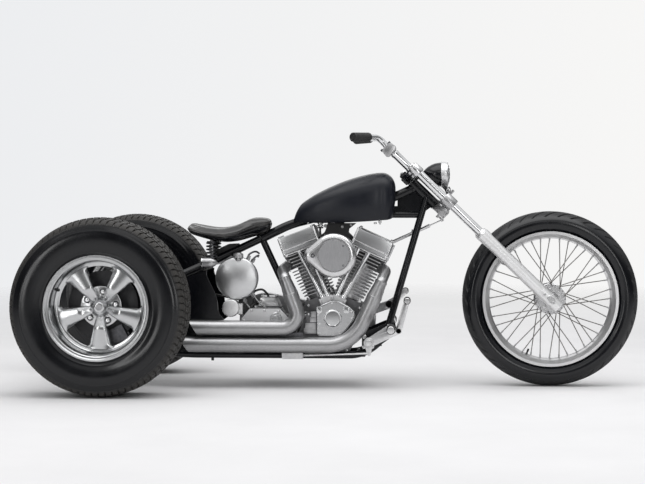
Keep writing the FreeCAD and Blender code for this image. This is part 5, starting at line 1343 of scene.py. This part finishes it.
def tank_loop(x, low, top, wide, lean=0.0):
    """Section of the tank: flat foot with a tunnel for the backbone, and a round crown."""
    waist, foot, side = low + (top - low) * 0.42, wide * 0.88, []
    roof = min(max(TUNNEL_Z + TUNNEL_RISE * (x - TUNNEL_X), low + 2), top - 6)
    for y, z in ((TUNNEL_HALF, low), (foot - 5, low), (foot - 1.5, low + 1.5)):
        side.append((y, z))
    for step in range(9):
        t = step / 8
        side.append((wide - (wide - foot) * (1 - t) ** 2, low + 5 + (waist - low - 5) * t))
    for step in range(1, 25):
        angle = pi / 2 * step / 24
        side.append((wide * cos(angle) ** 0.7, waist + (top - waist) * sin(angle) ** 0.7))
    ring = [(-y, z) for y, z in side] + [(y, z) for y, z in reversed(side[:-1])]
    ring += [(TUNNEL_HALF, roof), (-TUNNEL_HALF, roof)]
    return [Vector((CRANK.x + x - lean * max(0.0, (TANK_BELLY - z) / 85), y, z)) for y, z in ring]


def build_tank():
    """Tank with rounded ends; its front leans forward from its foot."""
    rows, first, last = [], TANK_ROWS[0], TANK_ROWS[-1]
    for step in range(65):
        x = first[0] + (last[0] - first[0]) * (step / 64) ** 1.4
        rows.append(tank_loop(x, *table_at(TANK_ROWS, x)))
    for step in range(1, 19):
        angle = pi / 2 * step / 18
        turn = cos(angle)
        rows.append(tank_loop(last[0] + TANK_FRONT * sin(angle),
            TANK_BELLY - (TANK_BELLY - last[1]) * (0.88 + 0.12 * turn),
            TANK_BELLY + (last[2] - TANK_BELLY) * (0.42 + 0.58 * turn),
            last[3] * (0.52 + 0.48 * turn), 14 * sin(angle)))
    made = Soup().rows(rows).made("fuel_tank_shell", "tank", sharp=40)
    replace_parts(made, "fuel_tank")


def build_tank_dress():
    """Filler cap on the left of the crown, and studs and tap under the foot."""
    cap = Soup()
    spot, lean = from_crank(118, 56, 632), Vector((-0.2, 0.3, 1)).normalized()
    cap.turned(spot, lean, ((0, -6), (21, -6), (22, -3), (22, 0.6), (20.5, 2), (8, 2.8), (0, 3)),
        64)
    cap.made("fuel_cap", "chrome")
    foot = Soup()
    for x in (-104, 176):
        foot.screw(from_crank(x, -30, 446), -UP, 8)
    foot.turned(from_crank(196, -52, 452), -UP, ((6, -4), (6, 8), (3, 9), (3, 14), (0, 14)), 16)
    foot.made("tank_studs", "bright")


# ---- fork, bars and controls ----------------------------------------------------------------
def leg(side, z):
    """Place on a fork leg's axis."""
    return steer(46, side * 100, z)


def riser(side, z):
    """Place on the axis of one of the bars' risers."""
    return steer(35, side * 48, z)


def steer_loop(points, z):
    """Loop of (x ahead, y) points at a station up the steering axis."""
    return [steer(x, y, z) for x, y in points]


def tree_outline(back, ahead, ends=57):
    return round_ends((46, 100, ends), (46, -100, ends), (back + 8, 34, 16), (back + 8, -34, 16),
        (ahead - 8, 60, 16), (ahead - 8, -60, 16))


def build_trees():
    """Both fork clamps with rounded edges, pinch bolts, the stem's nut and the bars' bushings."""
    low, high, up = Soup(), Soup(), -DOWN
    eased(low, steer_loop(tree_outline(-20, 44), -54.6), up * 54, 3.0)
    low.turned(steer(0, 0, -64), up, ((14, 0), (20, 3), (20, 10), (0, 10)), 40)
    eased(low, steer_loop([(40, -17), (96, -17), (96, 17), (40, 17)], -17), up * 11, 1.5)
    eased(low, steer_loop([(-35, 33), (-17, 33), (-17, 63), (-35, 63)], -44.6), up * 10, 1.5)
    low.turned(steer(-26, 52, -71), up, ((4, 0), (4, 27), (0, 27)), 16)
    low.turned(steer(0, 0, -6), up, ((22, 0), (22, 4), (12.4, 5), (12.4, 150), (0, 150)), 40)
    made = low.made("fork_lower_clamp", "tree", "steering", "brushed", sharp=30)
    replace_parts(made, "fork_lower_tree")
    eased(high, steer_loop(tree_outline(-20, 40, 49), 138.6), up * 42, 3.0)
    made = high.made("fork_upper_clamp", "bright", "steering", "brushed", sharp=30)
    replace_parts(made, "fork_upper_tree")
    bolts, black = Soup(), Soup()
    bolts.turned(steer(0, 0, 180), up, ((19, 0), (19, 2.6), (17.4, 3.4), (0, 3.4)), 36)
    bolts.turned(steer(0, 0, 183), up, ((16.6, 0), (16.6, 9.4), (14.6, 11.4), (9, 11.6), (8, 10),
        (0, 10)), 6)
    for side in (1, -1):
        for z in (-42, -14, 150, 168):
            bolts.screw(steer(17.6 if z < 0 else 21.6, side * 108, z), -AHEAD, 8)
        bolts.turned(leg(side, 185), up, ((17.4, -1), (17.4, 1), (16, 2.6), (9, 3), (0, 3)), 36)
        black.turned(riser(side, 128), up, ((17, 0), (19, 2), (19, 10), (0, 10)), 32)
        black.turned(steer(-4, side * 30, 141), up, ((15, 0), (16.5, 3), (16.5, 47), (14, 49),
            (0, 49)), 28)
        bolts.nut(riser(side, 128), DOWN, 17, 9)
        bolts.screw(steer(-18, side * 30, 152), -AHEAD, 9)
        bolts.nut(steer(-4, side * 30, 189), up, 12, 5)
        bolts.screw(steer(-18.6, side * 20, -40), -AHEAD, 9)
    eased(black, steer_loop(round_ends((-19, 36, 14), (-19, -36, 14), (4, 44, 12), (4, -44, 12)),
        143), up * 34, 3)
    bolts.made("fork_bolts", "bright", "steering", sharp=26)
    black.made("fork_bushings", "plastic", "steering")


def build_bars():
    """Risers, split clamps and pulled-back bars; rubber sleeves at their ends."""
    chrome, clamps, bolts, rubber_parts, up = Soup(), Soup(), Soup(), Soup(), -DOWN
    for side in (1, -1):
        chrome.turned(riser(side, 0), up, ((18.6, 180.6), (18.6, 186), (16.5, 188), (16.5, 262),
            (18, 266), (18, 274), (14, 277), (0, 277)), 40)
        block = round_ends((15, 292, 26), (46, 292, 26), (17, 306, 26), (44, 306, 26))
        for low, high in ((-19.5, -0.6), (0.6, 19.5)):
            loop = [steer(x, side * 48 + low, z) for x, z in block]
            eased(clamps, loop, LEFT * (high - low), 2.4)
        for x, y in ((8, -9), (8, 9), (52, -9), (52, 9)):
            bolts.screw(steer(x, side * 48 + y, 317), up, 7)
        start, bend = steer(31, side * 48, 298), Vector((185, side * 48, 1034))
        end = Vector((82, side * 190, 1030))
        back, on = (start - bend).normalized(), (end - bend).normalized()
        turn = [bend + back * 30 * (1 - t) ** 2 + on * 30 * t ** 2
            for t in (i / 10 for i in range(11))]
        chrome.tube([start - back * -8] + turn + [end - on * 6], 12.7, 28)
        profile = [(12.6, 1), (17.6, 1), (19, 2.6), (19, 7)]
        for groove in range(10, 98, 5):
            profile += [(19, groove), (18.1, groove + 0.8), (18.1, groove + 1.8),
                (19, groove + 2.6)]
        profile += [(19, 101), (18, 106.6), (16.6, 108), (12.6, 108)]
        rubber_parts.turned(end, -on, profile, 48, True)
        rubber_parts.turned(end - on * 6, on, ((18.4, 0), (18.4, 4.4), (17.4, 5.6), (11.5, 5.8),
            (10.5, 4.2), (8, 4.2), (7, 5.8), (0, 5.9)), 40)
    chrome.turned(steer(31, -48, 298), LEFT, ((12.7, 0), (12.7, 96), (0, 96)), 28)
    made = chrome.made("bar_assembly", "chrome", "steering", sharp=30)
    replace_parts(made, "handlebar")
    clamps.made("bar_clamps", "tree", "steering", sharp=30)
    bolts.made("bar_bolts", "steel", "steering", sharp=26)
    made = rubber_parts.made("grip_sleeves", "grip", "steering", sharp=26)
    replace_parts(made, "grips")


def build_fork_legs():
    """Dust seals, axle caps and pinch bolts on the legs; holes round the front hub's flanges."""
    seals, bolts, up = Soup(), Soup(), -DOWN
    for side in (1, -1):
        out = LEFT * side
        seals.turned(leg(side, -236), up, ((26.4, 0), (28.2, 1), (28.2, 16), (27, 17), (0, 17)), 48)
        seals.turned(leg(side, -222), up, ((25, 0), (25.4, 6), (21, 10), (18.4, 15), (17.8, 17),
            (0, 17)), 40)
        bolts.turned(leg(side, -655), DOWN, ((20, -2), (19, 1.4), (10, 2.4), (0, 2.4)), 40)
        plate_loop = [steer(46 + x, side * 124.5, z - 612) for x,
            z in round_ends((0, -8, 24), (0, 48, 24))]
        eased(seals, plate_loop, out * 7, 1.6)
        for z in (-622, -572):
            bolts.screw(steer(46, side * 131, z), out, 8)
        bolts.turned(steer(50, side * 131, -600), out,
            ((12, -2), (12, 2.4), (10.8, 3.4), (0, 3.4)), 30)
        bolts.screw(steer(66, side * 112, -600), AHEAD, 6)
    seals.made("fork_seals", "slider", "steering", "brushed", sharp=30)
    bolts.made("fork_leg_bolts", "bright", "steering", sharp=26)
    holes, rings = Soup(), Soup()
    middle = FRONT / MM
    for side in (1, -1):
        out = LEFT * side
        rings.turned(middle, out, ((63, 33.6), (64.2, 35), (64.2, 37.6), (62.6, 38.9),
            (52.4, 38.9), (51, 37), (51, 34)), 80, True)
        for index in range(20):
            angle = radians((0 if side > 0 else 9) + 18 * index)
            spot = middle + around(59.6, angle + 0.12, side * 38.4)
            holes.turned(spot, out, ((2.3, 0), (2.3, 0.9), (0, 0.9)), 10)
        for index in range(5):
            angle = radians(72 * index + 20)
            spot = middle + around(40, angle, side * 38)
            rings.button(spot, out, 6)
    rings.made("front_hub_rings", "bright", "front_wheel", sharp=30)
    holes.made("front_hub_holes", "steel", "front_wheel")


def from_pivot(x, y, z):
    """Place given by its distance from the foot levers' pivot along X and Z."""
    return from_crank(153 + x, y, z - 42)


def lever_loop(y, *ends):
    """Outline round (x, z, diameter) circles given from the foot levers' pivot."""
    return [from_pivot(x, y, z) for x, z in round_ends(*ends)]


def sleeve(soup, caps, x, z, y0, y1, radius, side):
    """Rubber sleeve with grip rings on a peg, and its polished end cap."""
    spot = from_pivot(x, side * y0, z)
    length, profile = y1 - y0, [(radius - 2, 0), (radius, 1.5)]
    for at in range(6, int(length) - 8, 7):
        profile += [(radius, at), (radius - 1.2, at + 1), (radius - 1.2, at + 2.4),
            (radius, at + 3.4)]
    profile += [(radius, length - 4), (radius - 1, length - 2), (0, length - 2)]
    soup.turned(spot, LEFT * side, profile, 40)
    caps.turned(spot + LEFT * side * (length - 3), LEFT * side,
        ((radius - 3, 0), (radius - 3, 2.4), (radius - 4.6, 3.6), (0, 4)), 40)


# The links of each side's foot lever, as pairs of (x, z, diameter) from the pivot.
FOOT_LINKS = {
    1: (((0, 0, 36), (8, 106, 30)), ((8, 106, 38), (78, 131, 36)), ((78, 131, 36), (112, 156, 28)),
        ((112, 156, 28), (148, 188, 22))),
    -1: (((0, 0, 40), (122, 49, 26)), ((122, 49, 26), (157, 175, 22)), ((0, 0, 34), (1, -44, 18))),
}


def build_controls():
    """Eased levers on their pivots, rubber sleeves, end caps and the bolts that hold them."""
    levers, sleeves, caps = Soup(), Soup(), Soup()
    for side in (1, -1):
        out = LEFT * side
        pivot = from_pivot(0, 0, 0)
        levers.turned(pivot, out, ((15, 108), (15, 196), (0, 196)), 40)
        levers.turned(pivot, out, ((19, 178), (21, 180), (21, 197), (19, 199.4),
            (0, 199.4)), 48)
        caps.turned(pivot, out, ((13, 198), (13, 201), (11.5, 202.6), (0, 203)), 36)
        eased(levers, lever_loop(side * 170, (0, 0, 34), (92, 61, 30)), out * 12, 2.0)
        peg = from_pivot(92, 0, 61)
        levers.turned(peg, out, ((12, 172), (12, 203), (0, 203)), 32)
        levers.turned(peg, out, ((15, 196), (16.4, 197.4), (16.4, 203), (0, 203)), 32)
        sleeve(sleeves, caps, 92, 61, 203, 307, 18, side)
        for first, second in FOOT_LINKS[side]:
            eased(levers, lever_loop(side * 186, first, second), out * 11, 2.6)
        x, z, radius = (148, 188, 13.5) if side > 0 else (157, 175, 14.5)
        levers.turned(from_pivot(x, 0, z), out, ((9, 182), (9, 200), (0, 200)), 24)
        sleeve(sleeves, caps, x, z, 197, 247, radius, side)
        eye = from_pivot((1 if side < 0 else 8), side * 195, (-44 if side < 0 else 106))
        caps.nut(eye, out, 10, 5)
    made = levers.made("foot_levers", "controls", sharp=30)
    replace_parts(made, "foot_controls_left", "foot_controls_right")
    sleeves.made("peg_sleeves", "grip", sharp=26)
    caps.made("peg_caps", "bright", sharp=28)


def build_exhaust_dress():
    """Rolled collars where the headers widen; a bar and two brackets behind the pipes."""
    bands, bolts = Soup(), Soup()
    for x, z, rise, reach in ((87, -54, Vector((0.41, 0, 0.912)), (282, 218)),
            (-116, 14.5, Vector((-0.345, 0, 0.9386)), (218, 150))):
        corner = from_crank(x, -170, z)
        bands.turned(corner + rise * reach[0], rise, ((22.6, -7), (25.4, -5.6), (25.4, 5.6),
            (22.6, 7)), 48, True)
        bands.turned(corner + rise * reach[1], rise, ((31, -2.4), (31.9, -1), (31.9, 1), (31, 2.4)),
            56, True)
    panel(bolts, -141, box(-560, -120, -38, -6), LEFT * 4, 1)
    for z in (-54, 14.5):
        panel(bolts, -140, [(-300 + a, z + b) for a, b in rounded(14, -16, 16, 5)], LEFT * 5, 1)
        bolts.nut(from_crank(-300, -136, z), LEFT, 12, 6)
    bands.made("exhaust_collars", "exhaust", sharp=30)
    bolts.made("exhaust_brackets", "steel", sharp=26)


def build_drive_dress():
    """Differential's bolts, belt teeth, pulley rims and caliper bolts."""
    bolts, pulleys = Soup(), Soup()
    axle = Vector((REAR["left"].x / MM, 0, 354))
    for index in range(10):
        angle = radians(36 * index + 18)
        spot = axle + around(84, angle, 54)
        if cos(angle) > -0.55:
            bolts.nut(spot, LEFT, 12, 6)
            bolts.nut(Vector((spot.x, -54, spot.z)), RIGHT, 12, 6)
    bolts.turned(axle + Vector((-122, 0, -10)), (-1, 0, 0), ((14, -4), (14, 4), (12, 6), (0, 6)), 6)
    for side in (1, -1):
        for index in range(8):
            angle = radians(45 * index + 22)
            spot = axle + around(53, angle, side * 356)
            bolts.nut(spot, RIGHT * side, 11, 6)
        for angle in (-75, -51):
            bolts.nut(axle + around(146, radians(angle), side * 368), RIGHT * side, 12, 7)
    for middle, radius, count in ((SHAFT + LEFT * 60, 58.8, 46), (axle + LEFT * 60, 88.8, 70)):
        rim = [middle + around(radius - (2.2 if s % 2 else 0), pi * s / count)
            for s in range(2 * count)]
        pulleys.rows([[p + LEFT * 1 for p in rim], [p + LEFT * 27.6 for p in rim]])
        for y, proud in ((-0.6, 1.2), (26.4, 0.2)):
            pulleys.turned(middle + LEFT * y, LEFT, ((radius - 14, 0), (radius + proud, 0),
                (radius + proud, 1.2), (radius - 14, 2.4)), 72, True)
    for index in range(5):
        angle = TAU * index / 5
        bolts.nut(axle + around(66, angle, 87), LEFT, 11, 6)
    bolts.made("drive_bolts", "bright", sharp=26)
    pulleys.made("pulley_teeth", "steel", sharp=26)


def bead(soup, spot, axis, radius, thick=2.2):
    """Weld bead round a tube."""
    spin = Vector(axis).to_track_quat("Z", "Y").to_matrix()
    ring = [spot + spin @ Vector((radius * cos(TAU * s / 40), radius * sin(TAU * s / 40), 0))
        for s in range(40)]
    soup.tube(ring, thick, 8, True)


def build_frame_dress():
    """Weld beads and bracket bolts on the frame."""
    welds, bolts = Soup(), Soup()
    for z, radius in ((2, 23.4), (136, 23.4)):
        welds.turned(steer(0, 0, z - 6 if z > 50 else z), -DOWN,
            ((22, 0), (radius, 1), (radius, 5), (22, 6)), 48, True)
    head = steer(0, 0, 108)
    back = Vector((NECK.x - 190, 0, 778)) - head
    bead(welds, head + back.normalized() * 24, back, 19.4)
    for side in (1, -1):
        for x, z in ((-20, -24), (12, -24), (84, 62), (-20, 18)):
            bolts.nut(from_pivot(x, side * 108, z), LEFT * side, 12, 6)
        for x, z in ((110, 150), (210, 152), (70, 400), (70, 160)):
            bolts.nut(Vector((REAR["left"].x / MM + x, side * 136, z)), LEFT * side, 14, 7)
        for x, y, z in ((106, 58, -98), (126, 58, -98), (-186, 52, -92), (-158, 52, -92)):
            bolts.nut(from_crank(x, side * y, z), UP, 13, 6)
    bolts.nut(from_crank(-298, -12, 420), RIGHT, 12, 6)
    bolts.nut(from_crank(-298, 12, 420), LEFT, 12, 6)
    for x, z, size in ((40, 428, 9), (-30, 392, 8), (76, 436, 8)):
        bolts.screw(from_crank(x, -62, z), RIGHT, size)
    welds.made("frame_welds", "frame", sharp=50)
    bolts.made("frame_bolts", "bright", sharp=26)


for make in (build_rocker_dress, build_cam_cover, build_case_dress, build_air_cleaner,
        build_carburettor, build_gearbox_dress, build_oil_tank, build_filter, build_lamps,
        build_headlight, build_tank, build_tank_dress, build_trees, build_bars, build_fork_legs,
        build_controls, build_exhaust_dress, build_drive_dress, build_frame_dress):
    make()


# ---- stage, light and camera ----------------------------------------------------------------
def build_stage():
    """Pale floor that fades into the background well away from the machine."""
    mesh = bpy.data.meshes.new("studio_floor")
    work = bmesh.new()
    bmesh.ops.create_circle(work, cap_ends=True, segments=96, radius=9.0)
    work.to_mesh(mesh)
    work.free()
    floor = bpy.data.objects.new("studio_floor", mesh)
    bpy.context.scene.collection.objects.link(floor)
    made = material("studio_floor", (0.8, 0.795, 0.8), 0.0, 0.8, Specular_IOR_Level=0.15)
    fade = add(made, "ShaderNodeVectorMath", {0: add(made, "ShaderNodeTexCoord").outputs["Object"]},
               operation="LENGTH").outputs["Value"]
    mottle = noise(made, 1.3, 4.0, 0.6)
    connect(made, blend(made, remap(made, mottle, 0.3, 0.7, 0, 1), (0.78, 0.775, 0.78),
        (0.83, 0.825, 0.83)), "Base Color")
    connect(made, remap(made, fade, 2.2, 7.5, 1.0, 0.0), "Alpha")
    mesh.materials.append(made)


def area_light(name, spot, target, size, power):
    light = bpy.data.lights.new(name, "AREA")
    light.shape, light.size, light.size_y, light.energy = "RECTANGLE", *size, power
    holder = bpy.data.objects.new(name, light)
    holder.location = spot
    holder.rotation_euler = (Vector(target) - Vector(spot)).to_track_quat("-Z", "Y").to_euler()
    bpy.context.scene.collection.objects.link(holder)


def world_gradient():
    """Studio surroundings: grey at the horizon, bright overhead; a pale backdrop for the camera."""
    world = bpy.data.worlds.new("studio")
    world.use_nodes = True
    world.node_tree.nodes.clear()

    coords = add(world, "ShaderNodeTexCoord").outputs["Generated"]
    way = add(world, "ShaderNodeSeparateXYZ", {0: coords})
    ramp = add(world, "ShaderNodeValToRGB", {0: add(world, "ShaderNodeMapRange", {
        "Value": way.outputs["Z"], "From Min": -1.0, "From Max": 1.0}).outputs[0]})
    stops = ((0.0, 0.4), (0.46, 0.28), (0.5, 0.08), (0.575, 0.1), (0.66, 0.2), (0.78, 0.75),
        (1.0, 1.0))
    while len(ramp.color_ramp.elements) < len(stops):
        ramp.color_ramp.elements.new(0.5)
    for element, (at, grey) in zip(ramp.color_ramp.elements, stops):
        element.position = at
        element.color = (grey * 0.985, grey * 0.99, grey, 1)
    seen = add(world, "ShaderNodeMix", {0: add(world, "ShaderNodeMapRange", {
        "Value": way.outputs["X"], "From Min": -0.24, "From Max": 0.16}).outputs[0],
        6: (0.845, 0.855, 0.872, 1), 7: (0.935, 0.93, 0.92, 1)}, data_type="RGBA")
    ambient = add(world, "ShaderNodeBackground", {"Color": ramp.outputs[0], "Strength": 1.0})
    backdrop = add(world, "ShaderNodeBackground", {"Color": seen.outputs[2], "Strength": 1.0})
    ray = add(world, "ShaderNodeLightPath").outputs["Is Camera Ray"]
    mix = add(world, "ShaderNodeMixShader", {0: ray, 1: ambient.outputs[0], 2: backdrop.outputs[0]})
    add(world, "ShaderNodeOutputWorld", {0: mix.outputs[0]})
    bpy.context.scene.world = world


def build_lights():
    bpy.context.scene.view_settings.view_transform = "Standard"
    world_gradient()
    for lamp in LAMPS:
        area_light(*lamp)


CAMERA_SPOT, CAMERA_LENS = (0.33055, -6.9941, 0.8239), 93.27
# Radians below level, and to the left of +Y.
CAMERA_DIP, CAMERA_TURN = 0.0324, 0.0546
# Name, place, aim, size and power.
LAMPS = (("overhead", (0.2, -0.7, 3.4), (0.1, 0, 0.3), (4.6, 2.6), 66),
         ("front_soft", (0.4, -5.4, 3.4), (0.1, 0, 0.35), (3.6, 1.0), 12),
         ("side_strip_rear", (-2.9, -4.9, 1.35), (-0.4, 0, 0.45), (0.7, 2.5), 26),
         ("side_strip_front", (2.3, -5.3, 1.35), (-0.1, 0, 0.45), (0.7, 2.5), 26),
         ("back_fill", (0.0, 4.5, 2.6), (0, 0, 0.4), (3.5, 1.5), 20))


def build_camera():
    camera = bpy.data.objects.new("camera", bpy.data.cameras.new("camera"))
    camera.location, camera.rotation_euler = CAMERA_SPOT, (pi / 2 - CAMERA_DIP, 0, CAMERA_TURN)
    camera.data.lens, camera.data.sensor_width = CAMERA_LENS, 36.0
    bpy.context.scene.collection.objects.link(camera)
    bpy.context.scene.camera = camera


build_stage()
build_lights()
build_camera()
